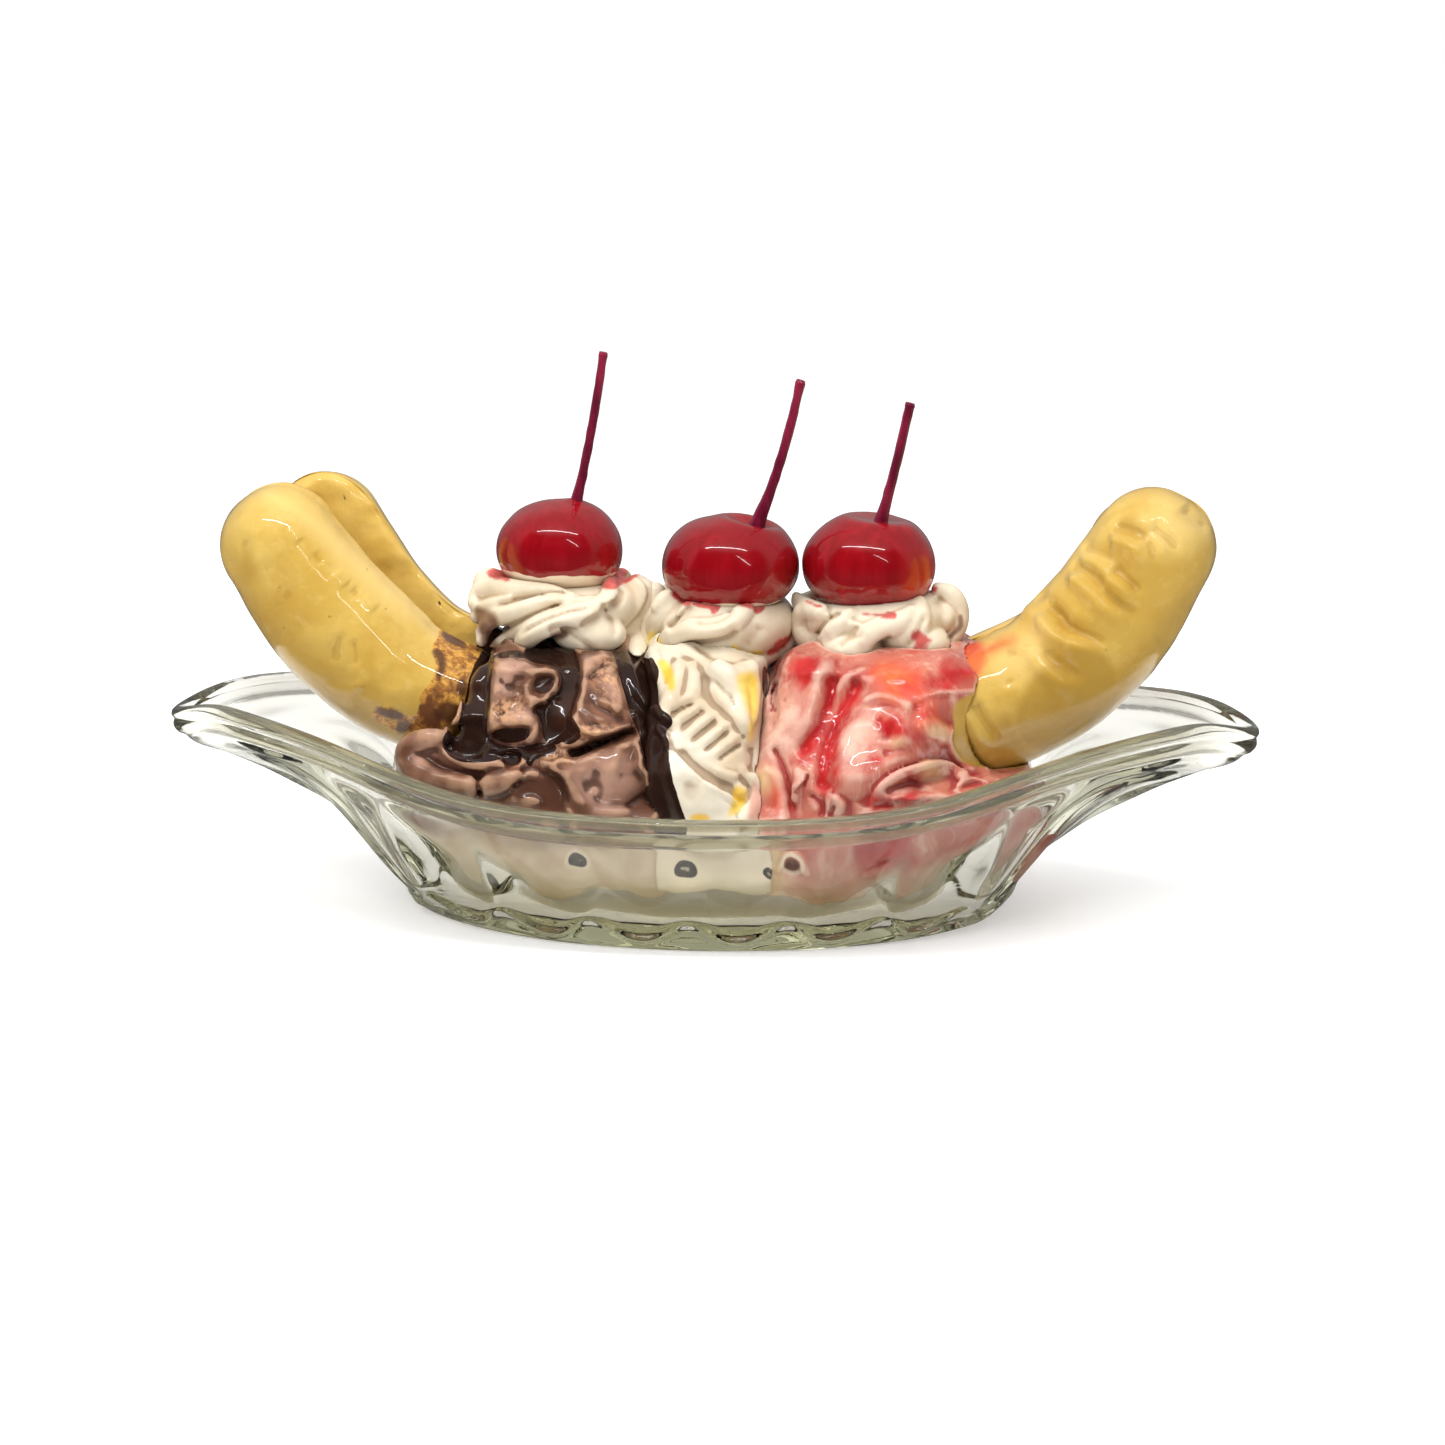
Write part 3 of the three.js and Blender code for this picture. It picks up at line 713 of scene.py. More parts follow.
def cream_material():
    m = glaze(Nodes("cream"), 0.42, 0.35, 0.16)
    c = m.mix(m.ramp(m.noise(90, 4, 0.6), 0.35, 0.7), srgb(223, 211, 188), srgb(211, 195, 168))
    # painted shade: hollows of the cream darkened towards brown
    c = m.mix(m.ramp(m.attr("bend"), -0.16, 0.0, 0.6, 0.0), c, srgb(190, 162, 130))
    speck = m.ramp(m.cells(900), 0.10, 0.05)
    c = m.mix(m.math("MULTIPLY", speck, m.ramp(m.noise(120, 2), 0.55, 0.7, 0, 0.35)), c, srgb(170, 130, 100))
    yellow = m.edge(m.attr("yellow"), m.wobble(220, 0.5), 0.22)
    c = m.mix(m.math("MULTIPLY", yellow, 0.85), c, srgb(236, 208, 96))
    brown = m.edge(m.attr("brown"), m.wobble(240, 0.5), 0.25)
    c = m.mix(m.math("MULTIPLY", brown, 0.85), c, srgb(112, 72, 52))
    red = m.edge(m.attr("red"), m.wobble(420, 1.3, 4), 0.28)
    c = m.mix(m.math("MULTIPLY", red, 0.86), c, m.mix(m.ramp(m.noise(350, 3), 0.4, 0.65), srgb(176, 28, 38), srgb(206, 66, 62)))
    m.set(Base_Color=c)
    m.set(Normal=m.bump(m.noise(420, 4, 0.6), 0.12, 0.0006))
    return m.done()


def banana_material():
    m = glaze(Nodes("banana_skin"), 0.34, 0.9, 0.05)
    base = m.mix(m.ramp(m.noise(34, 3, 0.55), 0.32, 0.7), srgb(190, 152, 66), srgb(206, 174, 92))
    base = m.mix(m.ramp(m.noise(95, 4, 0.6), 0.45, 0.75, 0, 0.5), base, srgb(174, 132, 48))
    base = m.mix(m.ramp(m.noise(240, 4, 0.65), 0.5, 0.72, 0, 0.35), base, srgb(214, 184, 108))
    # painted light: pale along the lit tops and upper edges, a painted highlight line along the back banana's skin
    # edge, and the back bananas lifted out of their shade
    base = m.mix(m.math("MULTIPLY", m.attr("pale"), 0.7), base, srgb(222, 190, 116))
    # painted shade: darker ochre on the shaded sides and near the foot
    shade = m.math("ADD", m.attr("ochre"), m.wobble(60, 0.5, 3))
    base = m.mix(m.ramp(shade, 0.25, 0.95, 0, 0.62), base, srgb(162, 124, 42))
    # painted shade: valleys and creases darkened
    base = m.mix(m.ramp(m.attr("bend"), -0.09, -0.006, 0.30, 0), base, srgb(160, 116, 40))
    cut = m.attr("cut")
    flesh = m.mix(m.ramp(m.noise(120, 4, 0.6), 0.35, 0.7), srgb(214, 178, 92), srgb(204, 164, 76))
    base = m.mix(cut, base, flesh)
    pits = m.ramp(m.cells(190), 0.075, 0.03)
    pits = m.math("MULTIPLY", pits, m.ramp(m.noise(60, 1), 0.52, 0.62))
    base = m.mix(m.math("MULTIPLY", m.math("MULTIPLY", pits, m.ramp(cut, 0, 1, 0.2, 0.8)), 0.7), base, srgb(122, 78, 30))
    speck = m.math("MULTIPLY", m.ramp(m.cells(420), 0.085, 0.05), m.ramp(m.noise(80, 1), 0.55, 0.65))
    base = m.mix(m.math("MULTIPLY", speck, 0.55), base, srgb(176, 120, 42))
    # the stained foot: golden granules under brown glaze
    grain = m.noise(620, 5, 0.75)
    gold = m.mix(m.ramp(grain, 0.40, 0.60), srgb(150, 96, 44), srgb(214, 160, 74))
    gold = m.mix(m.ramp(m.noise(130, 3, 0.6), 0.47, 0.60), gold, srgb(112, 70, 40))
    stain = m.edge(m.attr("stain"), m.wobble(170, 0.75, 4), 0.09)
    base = m.mix(stain, base, gold)
    burn = m.edge(m.attr("burn"), m.wobble(210, 1.1, 4), 0.20)
    base = m.mix(m.math("MULTIPLY", burn, 0.9), base, srgb(78, 46, 28))
    dark = m.edge(m.attr("sauce"), m.wobble(200, 0.3, 3), 0.05)
    base = m.mix(dark, base, srgb(42, 24, 18))
    blush = m.math("MULTIPLY", m.attr("blush"), m.ramp(m.noise(70, 3), 0.3, 0.65, 0.55, 1.0))
    base = m.mix(blush, base, m.mix(m.ramp(m.noise(110, 3), 0.38, 0.62), srgb(200, 40, 38), srgb(220, 98, 58)))
    m.set(Base_Color=base)
    h = m.noise(46, 3, 0.5)
    n = m.bump(h, 0.5, 0.0016)
    n = m.bump(m.noise(210, 4, 0.6), 0.42, 0.0008, n)
    n = m.bump(m.math("MULTIPLY", grain, stain), 0.5, 0.0006, n)
    n = m.bump(m.math("MULTIPLY", pits, -1.0), 0.6, 0.0008, n)
    m.set(Normal=n)
    return m.done()


def chocolate_material():
    m = glaze(Nodes("chocolate"), 0.32, 0.9, 0.05)
    c = m.mix(m.ramp(m.noise(75, 4, 0.6, 0.6), 0.34, 0.68), srgb(84, 52, 37), srgb(132, 93, 74))
    c = m.mix(m.ramp(m.noise(150, 4, 0.65), 0.50, 0.74, 0, 0.7), c, srgb(146, 96, 66))
    # partly painted highlight: pale on facets turned to the light, partly paler glaze thinning over edges
    c = m.mix(m.math("MULTIPLY", m.attr("pale"), m.ramp(m.noise(110, 3, 0.6), 0.25, 0.6, 0.4, 1)), c, srgb(188, 146, 126))
    c = m.mix(m.math("MULTIPLY", m.ramp(m.math("ADD", m.attr("deep"), m.wobble(120, 0.4, 3)), 0.3, 0.9), 0.85), c, srgb(72, 42, 31))
    c = m.mix(m.ramp(m.attr("bend"), 0.10, 0.30, 0, 0.7), c, srgb(188, 148, 120))
    c = m.mix(m.ramp(m.attr("bend"), -0.20, -0.03, 0.8, 0), c, srgb(66, 38, 28))
    gold = m.math("MULTIPLY", m.attr("gold"), m.ramp(m.noise(420, 5, 0.75), 0.46, 0.58))
    c = m.mix(gold, c, srgb(206, 158, 118))
    sauce = m.edge(m.attr("sauce"), m.wobble(190, 0.22, 3), 0.045)
    syrup = m.mix(m.ramp(m.noise(60, 3, 0.5), 0.35, 0.75), srgb(36, 20, 15), srgb(60, 36, 26))
    c = m.mix(sauce, c, syrup)
    low = m.attr("bare")
    bare = m.mix(m.ramp(m.noise(60, 3, 0.6), 0.4, 0.68), srgb(242, 226, 200), srgb(220, 196, 168))
    c = m.mix(m.math("MULTIPLY", low, 0.9), c, bare)
    # hole: a pale ring, a dark disc painted as the shade inside a vent hole, and a pale dot in its middle
    c = m.mix(m.ramp(m.attr("hole"), 0.02, 0.2, 0, 0.7), c, srgb(236, 222, 200))
    c = m.mix(m.ramp(m.attr("hole"), 0.36, 0.5), c, srgb(52, 42, 36))
    c = m.mix(m.ramp(m.attr("hole"), 0.93, 0.99, 0, 0.8), c, srgb(190, 178, 160))
    m.set(Base_Color=c)
    m.put(m.bsdf.inputs["Roughness"], m.ramp(sauce, 0, 1, 0.36, 0.12))
    skin = m.math("MULTIPLY", m.noise(330, 4, 0.65), m.ramp(sauce, 0, 1, 1.0, 0.0))
    n = m.bump(skin, 0.22, 0.0007)
    n = m.bump(m.noise(70, 3, 0.55), 0.35, 0.0012, n)
    m.set(Normal=n)
    return m.done()


def vanilla_material():
    m = glaze(Nodes("vanilla"), 0.36, 0.8, 0.07)
    c = m.mix(m.ramp(m.noise(80, 4, 0.6), 0.35, 0.7), srgb(230, 222, 204), srgb(218, 206, 184))
    c = m.mix(m.math("MULTIPLY", m.attr("shade"), m.ramp(m.noise(90, 3), 0.3, 0.65, 0.25, 0.75)), c, srgb(196, 170, 134))
    # painted shade: hollows darkened
    c = m.mix(m.ramp(m.attr("bend"), -0.16, 0.0, 0.85, 0), c, srgb(152, 126, 98))
    yellow = m.math("MULTIPLY", m.edge(m.attr("yellow"), m.wobble(130, 0.5, 3), 0.3), 0.9)
    c = m.mix(yellow, c, m.mix(m.ramp(m.noise(120, 2), 0.4, 0.65), srgb(236, 206, 92), srgb(226, 176, 30)))
    pink = m.math("MULTIPLY", m.edge(m.attr("pink"), m.wobble(130, 0.5, 3), 0.3), 0.8)
    c = m.mix(pink, c, srgb(214, 150, 130))
    sauce = m.edge(m.attr("sauce"), m.wobble(210, 0.55, 4), 0.05)
    c = m.mix(sauce, c, srgb(40, 23, 17))
    low = m.attr("bare")
    c = m.mix(m.math("MULTIPLY", low, 0.85), c, srgb(240, 226, 200))
    # hole: a pale ring, a dark disc painted as the shade inside a vent hole, and a pale dot in its middle
    c = m.mix(m.ramp(m.attr("hole"), 0.02, 0.2, 0, 0.7), c, srgb(236, 222, 200))
    c = m.mix(m.ramp(m.attr("hole"), 0.36, 0.5), c, srgb(52, 42, 36))
    c = m.mix(m.ramp(m.attr("hole"), 0.93, 0.99, 0, 0.8), c, srgb(190, 178, 160))
    m.set(Base_Color=c)
    n = m.bump(m.noise(300, 4, 0.6), 0.15, 0.0006)
    n = m.bump(m.noise(70, 3, 0.55), 0.25, 0.001, n)
    m.set(Normal=n)
    return m.done()


def strawberry_material():
    m = glaze(Nodes("strawberry"), 0.30, 1.0, 0.045)
    flow = (1.0, 1.0, 0.22, 0.0, 0.42, 0.0)
    run = m.noise(150, 4, 0.6, 0.4, stretch=flow)
    c = m.mix(m.ramp(m.noise(48, 4, 0.6, 0.8), 0.34, 0.68), srgb(178, 92, 78), srgb(204, 134, 114))
    c = m.mix(m.ramp(run, 0.46, 0.70, 0, 0.75), c, srgb(176, 72, 64))
    c = m.mix(m.ramp(m.noise(210, 4, 0.65, 0.3, stretch=flow), 0.52, 0.72, 0, 0.55), c, srgb(232, 196, 176))
    # pale patches of glaze, among them a painted sheen along a facet edge
    c = m.mix(m.math("MULTIPLY", m.attr("pale"), m.ramp(m.noise(140, 4, 0.7), 0.3, 0.62, 0.3, 1)), c, srgb(232, 200, 180))
    c = m.mix(m.ramp(m.attr("bend"), 0.06, 0.28, 0, 0.5), c, srgb(234, 196, 176))
    c = m.mix(m.ramp(m.attr("bend"), -0.2, -0.02, 0.85, 0), c, srgb(150, 44, 44))
    cream = m.math("MULTIPLY", m.edge(m.attr("cream"), m.wobble(110, 0.6, 3), 0.45), 0.85)
    c = m.mix(cream, c, srgb(228, 200, 150))
    orange = m.math("MULTIPLY", m.ramp(m.math("ADD", m.attr("orange"), m.wobble(80, 0.9, 4)), 0.12, 0.95), 0.95)
    c = m.mix(orange, c, m.mix(m.ramp(m.noise(90, 4, 0.6), 0.36, 0.66), srgb(214, 58, 38), srgb(232, 112, 52)))
    red = m.math("MULTIPLY", m.ramp(m.math("ADD", m.attr("red"), m.math("MULTIPLY", m.math("SUBTRACT", run, 0.5), 1.6)), 0.15, 0.85), 0.95)
    c = m.mix(red, c, m.mix(m.ramp(m.noise(150, 4, 0.6), 0.35, 0.7), srgb(162, 12, 20), srgb(194, 42, 40)))
    c = m.mix(m.edge(m.attr("skin"), m.wobble(120, 0.5, 3), 0.25), c, m.mix(m.ramp(m.noise(70, 3), 0.35, 0.7), srgb(186, 146, 60), srgb(206, 172, 92)))
    low = m.attr("bare")
    c = m.mix(m.math("MULTIPLY", low, 0.75), c, m.mix(m.ramp(m.noise(60, 3), 0.4, 0.7), srgb(226, 186, 162), srgb(208, 194, 168)))
    # hole: a pale ring, a dark disc painted as the shade inside a vent hole, and a pale dot in its middle
    c = m.mix(m.ramp(m.attr("hole"), 0.02, 0.2, 0, 0.7), c, srgb(236, 222, 200))
    c = m.mix(m.ramp(m.attr("hole"), 0.36, 0.5), c, srgb(150, 76, 46))
    c = m.mix(m.ramp(m.attr("hole"), 0.93, 0.99, 0, 0.8), c, srgb(190, 178, 160))
    m.set(Base_Color=c)
    n = m.bump(m.noise(260, 4, 0.6), 0.12, 0.0006)
    n = m.bump(m.noise(75, 4, 0.55, 0.3, stretch=flow), 0.5, 0.0022, n)
    m.set(Normal=n)
    return m.done()


# --------------------------------------------------------------- glass dish
HALF_LENGTH, HALF_WIDTH, OVAL = 120.0, 54.0, 109.0
BASE_A, BASE_B, FLOOR_Z, FLOOR_INSET = 64.6, 43.0, 5.6, 8.0
WALL, BAND, BAND_PROUD = 3.7, 6.0, 0.8
FLUTES, FLUTE_DEPTH = 18, 1.5
OUTER_SIDE = [[0, 0], [.16, .08], [.34, .2], [.5, .34], [.64, .48], [.77, .63], [.88, .78], [.95, .89], [1, 1]]
OUTER_END = [[0, 0], [.09, .125], [.19, .285], [.31, .405], [.45, .535], [.62, .66], [.79, .755], [.945, .83], [1, 1]]
INNER_SIDE = [[0, 0], [.14, .03], [.28, .12], [.43, .27], [.58, .43], [.72, .6], [.84, .76], [.94, .89], [1, 1]]
INNER_END = [[0, 0], [.1, .083], [.217, .306], [.334, .52], [.45, .67], [.57, .745], [.736, .785], [.886, .85], [1, 1]]


def row(rows, t):
    n = len(rows) - 1
    f = min(max(t, 0), 1) * n
    i = min(n - 1, int(f))
    u = f - i
    p = lambda k: np.array(rows[min(n, max(0, k))])
    a, b, c, d = p(i - 1), p(i), p(i + 1), p(i + 2)
    return 0.5 * (2 * b + (c - a) * u + (2 * a - 5 * b + 4 * c - d) * u * u + (3 * b - a - 3 * c + d) * u ** 3)


def rim_half_width(x):
    ax = np.minimum(HALF_LENGTH, np.abs(x))
    oval = HALF_WIDTH * np.sqrt(np.maximum(0, 1 - (ax / OVAL) ** 2))
    w = np.maximum(0, (ax - 85) / 35)
    wing = 22 * np.sqrt(np.maximum(0, 1 - w * w))
    near = 4 * np.log1p(np.exp(-np.abs(oval - wing) / 4))
    return np.maximum(oval, wing) + near * np.clip((HALF_LENGTH - ax) / 6, 0, 1)


def rim_height(x):
    ax = np.abs(x)
    droop = np.maximum(0, (ax - 104) / 16)
    return 30.8 + 15.2 / (1 + np.exp(-(ax - 66) / 12.5)) - 3.9 * droop ** 2


def rim_plan(phi):
    c = np.cos(phi)
    x = 84 * c + 36 * np.sign(c) * np.abs(c) ** 17
    return x, np.sign(np.sin(phi)) * rim_half_width(x)


def rim_normal(phi):
    e = 1e-3
    ax, ay = rim_plan(phi - e)
    bx, by = rim_plan(phi + e)
    l = np.hypot(bx - ax, by - ay) + 1e-9
    return (by - ay) / l, -(bx - ax) / l


def end_share(phi):
    return smooth(0.905, 0.99, np.abs(np.cos(phi)))


def foot_line(arc):
    """Height at which the flutes end above the base: low in the middle of each, high between two."""
    w = (arc * FLUTES) % 1
    return 2.7 + 4.2 * np.exp(-((np.minimum(w, 1 - w) * 19.2 / 4.9) ** 2))


def outer_ring(phi, arc, t):
    k = end_share(phi)
    rs, zs = row(OUTER_SIDE, t)
    re, ze = row(OUTER_END, t)
    out = rs + (re - rs) * k
    px, py = rim_plan(phi)
    nx, ny = rim_normal(phi)
    top = rim_height(px)
    z = (zs + (ze - zs) * k) * top
    mm = np.minimum((arc * FLUTES) % 1, 1 - (arc * FLUTES) % 1) * 19.2
    soft = np.sqrt(mm * mm + 0.9) - 0.95
    panel = 1 - ((9.6 - np.maximum(soft, 0)) / 9.6) ** 2
    foot = foot_line(arc)
    sink = FLUTE_DEPTH * 1.25 * panel * smooth(foot - 0.5, foot + 1.1, z) * smooth(top - BAND - 1, top - BAND - 10, z) * (1 - 0.9 * k * smooth(0.4, 0.6, t))
    proud = -BAND_PROUD * smooth(top - BAND + 0.35, top - BAND - 0.55, z)
    share = np.clip((z - (top - BAND)) / (BAND + 0.4), 0, 1)
    bead = 0.9 * np.abs(np.sin(2 * np.pi * share)) ** 0.55 * (1 - 0.35 * (share > 0.5))
    line = 0.55 * np.exp(-(((z - foot - 0.1) / 0.75) ** 2)) * (1 - k)
    d = (proud + bead) * smooth(0, 0.3, t) - sink + line
    bx, by = BASE_A * np.cos(phi), BASE_B * np.sin(phi)
    return np.stack([bx + (px - bx) * out + nx * d, by + (py - by) * out + ny * d, z], 1)


def inner_ring(phi, t, lift=0.0):
    k = end_share(phi)
    rs, zs = row(INNER_SIDE, t)
    re, ze = row(INNER_END, t)
    out = rs + (re - rs) * k
    px, py = rim_plan(phi)
    nx, ny = rim_normal(phi)
    top = rim_height(px) - 0.3
    fx, fy = (BASE_A - FLOOR_INSET) * np.cos(phi), (BASE_B - FLOOR_INSET) * np.sin(phi)
    return np.stack([fx + (px - nx * WALL - fx) * out, fy + (py - ny * WALL - fy) * out, FLOOR_Z + (zs + (ze - zs) * k) * (top - FLOOR_Z)], 1)


def dish_points():
    steps = 7200
    a = (np.arange(steps) + 0.5) / steps * 2 * np.pi
    length = np.r_[0, np.cumsum(np.hypot(BASE_A * np.sin(a), BASE_B * np.cos(a)))]
    n = FLUTES * 20
    share = np.arange(n) / n
    phi = np.interp(share * length[-1], length, np.arange(steps + 1) / steps * 2 * np.pi)
    arc = share + 0.5 / FLUTES
    c, s = np.cos(phi), np.sin(phi)
    flat = lambda k, z: np.stack([(BASE_A - k) * c, (BASE_B - k) * s, np.full(n, z)], 1)
    rings = []
    for f in (0.12, 0.4, 0.7, 0.9):              # underside, a little hollow inside its foot ring
        rings.append(np.stack([(BASE_A - 5) * c * f, (BASE_B - 5) * s * f, np.full(n, 0.9 if f < 0.9 else 0.85)], 1))
    rings += [flat(5.2, 0.8), flat(4.2, 0.25), flat(3.6, 0.0), flat(1.6, 0.0), flat(0.7, 0.12), flat(0.2, 0.45)]
    ts = np.r_[np.linspace(0.045, 0.30, 20), np.linspace(0.315, 0.70, 20), np.linspace(0.71, 0.965, 30)]
    for t in ts:
        rings.append(outer_ring(phi, arc, t))
    # the rim: outer edge rounds over into the wall
    px, py = rim_plan(phi)
    nx, ny = rim_normal(phi)
    top = rim_height(px)
    last = rings[-1]
    edge_in = inner_ring(phi, 0.975)
    for b in np.linspace(0.12, 0.88, 9):
        ang = b * np.pi
        across = (1 - math.cos(ang)) / 2
        up = math.sin(ang) ** 0.8
        base = last * (1 - across) + edge_in * across
        base[:, 2] = base[:, 2] + (top - base[:, 2]) * up
        rings.append(base)
    for t in np.r_[0.975, np.linspace(0.955, 0.0, 46)]:
        rings.append(inner_ring(phi, t))
    for f in (0.93, 0.8, 0.6, 0.4, 0.2, 0.08):
        rings.append(np.stack([(BASE_A - FLOOR_INSET) * c * f, (BASE_B - FLOOR_INSET) * s * f, np.full(n, FLOOR_Z - 0.05)], 1))
    # the rings, closed by a middle point at each end, make one skin
    m = len(rings)
    p = np.vstack([[[0, 0, 0.9]], *rings, [[0, 0, FLOOR_Z - 0.05]]])
    i = np.arange(n)
    j = (i + 1) % n
    quads = np.vstack([np.stack([1 + r * n + i, 1 + r * n + j, 1 + (r + 1) * n + j, 1 + (r + 1) * n + i], 1) for r in range(m - 1)])
    tris = np.vstack([np.stack([0 * i, 1 + j, 1 + i], 1), np.stack([0 * i + 1 + m * n, 1 + (m - 1) * n + i, 1 + (m - 1) * n + j], 1)])
    top = rim_height(p[:, 0])
    inside = np.zeros(len(p), bool)
    inside[1 + (4 + 6 + len(ts) + 9) * n:] = True
    band = smooth(top - BAND - 0.6, top - BAND + 0.4, p[:, 2]) * (1 - 0.75 * (smooth(top - 3.4, top - 2.6, p[:, 2]) * smooth(top - 1.6, top - 2.4, p[:, 2])))
    band = np.where(inside, band * smooth(top - 2.4, top - 0.8, p[:, 2]), band) * smooth(119, 96, np.abs(p[:, 0]))
    # painted shade: floor marks the inner floor and the low middle of the outer wall, to be tinted darker where the
    # scoops' shade falls
    floor = inside * smooth(15.0, 9.0, p[:, 2])
    foot = np.r_[0, np.tile(foot_line(arc), m), 0]
    outside = ~inside & (p[:, 2] > 1.5) & (np.abs(p[:, 1]) > 5)
    floor = np.maximum(floor, outside * 0.8 * smooth(foot - 0.1, foot + 0.5, p[:, 2]) * smooth(15.0, 9.5, p[:, 2]) * smooth(62, 40, np.abs(p[:, 0])))
    far_wall_shade = smooth(1, 12, p[:, 1]) * smooth(13, 20, p[:, 2]) * (0.45 + 0.55 * smooth(55, 80, np.abs(p[:, 0])))       # painted shade: the far wall is tinted grey, more strongly towards its ends
    return p, quads, tris, band, floor, far_wall_shade


p, quads, tris, band, floor, far_wall_shade = dish_points()
quads, tris = outward(p, quads, tris)
dish = make("dish_glass", p, quads, glass_material(), {"band": band, "floor": floor, "far_wall_shade": far_wall_shade}, tris)
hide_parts("dish")


# --------------------------------------------------------- cherries, stems
CHERRY_MAT, STEM_MAT = cherry_material(), stem_material()
CHERRIES = [
    dict(at=(-32.5, 0.0, 78.2), r=13.9, h=10.3, foot=(-29.3, 0.0, 86.9), seat=-4.0, dip=-1.5, wide=3.2, seed=3),
    dict(at=(5.0, 0.0, 75.3), r=15.0, h=10.9, foot=(9.9, 0.0, 83.0), seat=-7.2, dip=2.9, wide=4.4, seed=8),
    dict(at=(35.1, 0.5, 75.8), r=14.6, h=10.9, foot=(37.2, 0.5, 85.2), seat=-9.6, dip=1.3, wide=5.2, seed=14),
]
STEMS = [
    dict(foot=(-29.3, 0, 86.4), top=(-22.6, 0, 121.1), r0=1.5, r1=0.95, bow=0.5),
    dict(foot=(9.9, 0, 82.2), top=(20.0, 0, 115.5), r0=2.2, r1=1.0, bow=0.9),
    dict(foot=(37.2, 0.5, 84.4), top=(43.4, 0.5, 110.8), r0=1.7, r1=1.0, bow=0.3),
]


def cherry_points(c):
    around, up = 96, 60
    a = -np.pi / 2 + (np.arange(1, up) / up) * np.pi
    b = np.arange(around) / around * 2 * np.pi
    A, B = np.meshgrid(a, b, indexing="ij")
    x = c["r"] * np.cos(A) ** 0.85 * np.cos(B)
    y = c["r"] * np.cos(A) ** 0.85 * np.sin(B)
    z = c["h"] * np.sin(A)
    fx, fy = c["foot"][0] - c["at"][0], c["foot"][1] - c["at"][1]
    d2 = (x - fx) ** 2 + (y - fy) ** 2
    top = smooth(0.1, 1.0, A)
    if c["dip"] > 0:
        z = z - c["dip"] * np.exp(-d2 / c["wide"] ** 2) * top
        z = z + 0.5 * np.exp(-((np.sqrt(d2) - c["wide"] * 1.5) / 2.4) ** 2) * top
    else:
        z = z - c["dip"] * np.exp(-np.sqrt(d2 + 0.5) / c["wide"]) * top
    p = np.stack([x.ravel(), y.ravel(), z.ravel()], 1)
    ends = np.array([[0, 0, -c["h"]], [0, 0, c["h"] - (c["dip"] * math.exp(-(fx * fx + fy * fy) / c["wide"] ** 2) if c["dip"] > 0 else 0)]])
    p = np.vstack([p, ends])
    n = p / (np.linalg.norm(p, axis=1)[:, None] + 1e-9)
    p = p + n * (noise(p + 50 * c["seed"], 9, c["seed"])[:, None] * 0.34 + noise(p + 50 * c["seed"], 4.5, c["seed"])[:, None] * 0.10)
    i = np.arange(around)
    j = (i + 1) % around
    rows = up - 1
    quads = np.vstack([np.stack([r * around + i, r * around + j, (r + 1) * around + j, (r + 1) * around + i], 1) for r in range(rows - 1)])
    lo, hi = rows * around, rows * around + 1
    tris = np.vstack([np.stack([0 * i + lo, j, i], 1), np.stack([0 * i + hi, (rows - 1) * around + i, (rows - 1) * around + j], 1)])
    wave = 0.7 * noise(p * [1, 1, 0.15] + 9 * c["seed"], 6.0, 4) + 0.45 * noise(p * [1, 1, 0.15], 2.6, 5)
    seat = smooth(c["seat"] + 0.9, c["seat"] - 0.9, p[:, 2] + wave)
    # painted reflection: an orange tint on the faces turned right and down, strongest on the third cherry
    orange = np.clip(smooth(0.3, 0.95, n[:, 0]) * smooth(0.5, -0.3, n[:, 2]), 0, 1) * (1.0 if c["seed"] == 14 else 0.25)
    return p + np.array(c["at"]), quads, tris, {"seat": seat, "orange": orange}


for i, c in enumerate(CHERRIES):
    p, quads, tris, att = cherry_points(c)
    quads, tris = outward(p, quads, tris)
    o = make(f"cherry_glaze_{i + 1}", p, quads, CHERRY_MAT, att, tris)
    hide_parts(f"cherry_{i + 1}")

for i, s in enumerate(STEMS):
    a, b = np.array(s["foot"], float), np.array(s["top"], float)
    axis = (b - a) / np.linalg.norm(b - a)
    side = np.array([0, 1.0, 0])
    out = np.cross(side, axis)
    out /= np.linalg.norm(out)
    around, along = 20, 46
    w = np.arange(around) / around * 2 * np.pi
    rings = []
    for k in range(along + 1):
        t = k / along
        r = s["r1"] + (s["r0"] - s["r1"]) * math.exp(-t * 7) + 0.22 * math.exp(-((1 - t) / 0.03) ** 2)
        if k == along:
            r *= 0.8
        mid = a + (b - a) * t + out * s["bow"] * math.sin(math.pi * t)
        rings.append(mid + r * (np.cos(w)[:, None] * out + np.sin(w)[:, None] * side))
    p = np.vstack(rings + [a[None], (b + axis * 0.12)[None]])
    n0 = len(p) - 2
    v = noise(p, 2.0, 30 + i)[:, None] * 0.09
    p[:n0] += v[:n0] * (p[:n0] - np.repeat(np.array([r.mean(0) for r in rings]), around, 0))
    j = np.arange(around)
    jj = (j + 1) % around
    quads = np.vstack([np.stack([k * around + j, k * around + jj, (k + 1) * around + jj, (k + 1) * around + j], 1) for k in range(along)])
    tris = np.vstack([np.stack([0 * j + n0, jj, j], 1), np.stack([0 * j + n0 + 1, along * around + j, along * around + jj], 1)])
    quads, tris = outward(p, quads, tris)
    o = make(f"cherry_stalk_{i + 1}", p, quads, STEM_MAT, None, tris)
    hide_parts(f"stem_{i + 1}")


# ------------------------------------------------- shapes drawn on close-ups
def scaled(ox, oy, k):
    """Turns points drawn on an enlarged part of the frame into frame coordinates."""
    return lambda pts: [(ox + q[0] / k, oy + q[1] / k, *q[2:]) for q in pts]


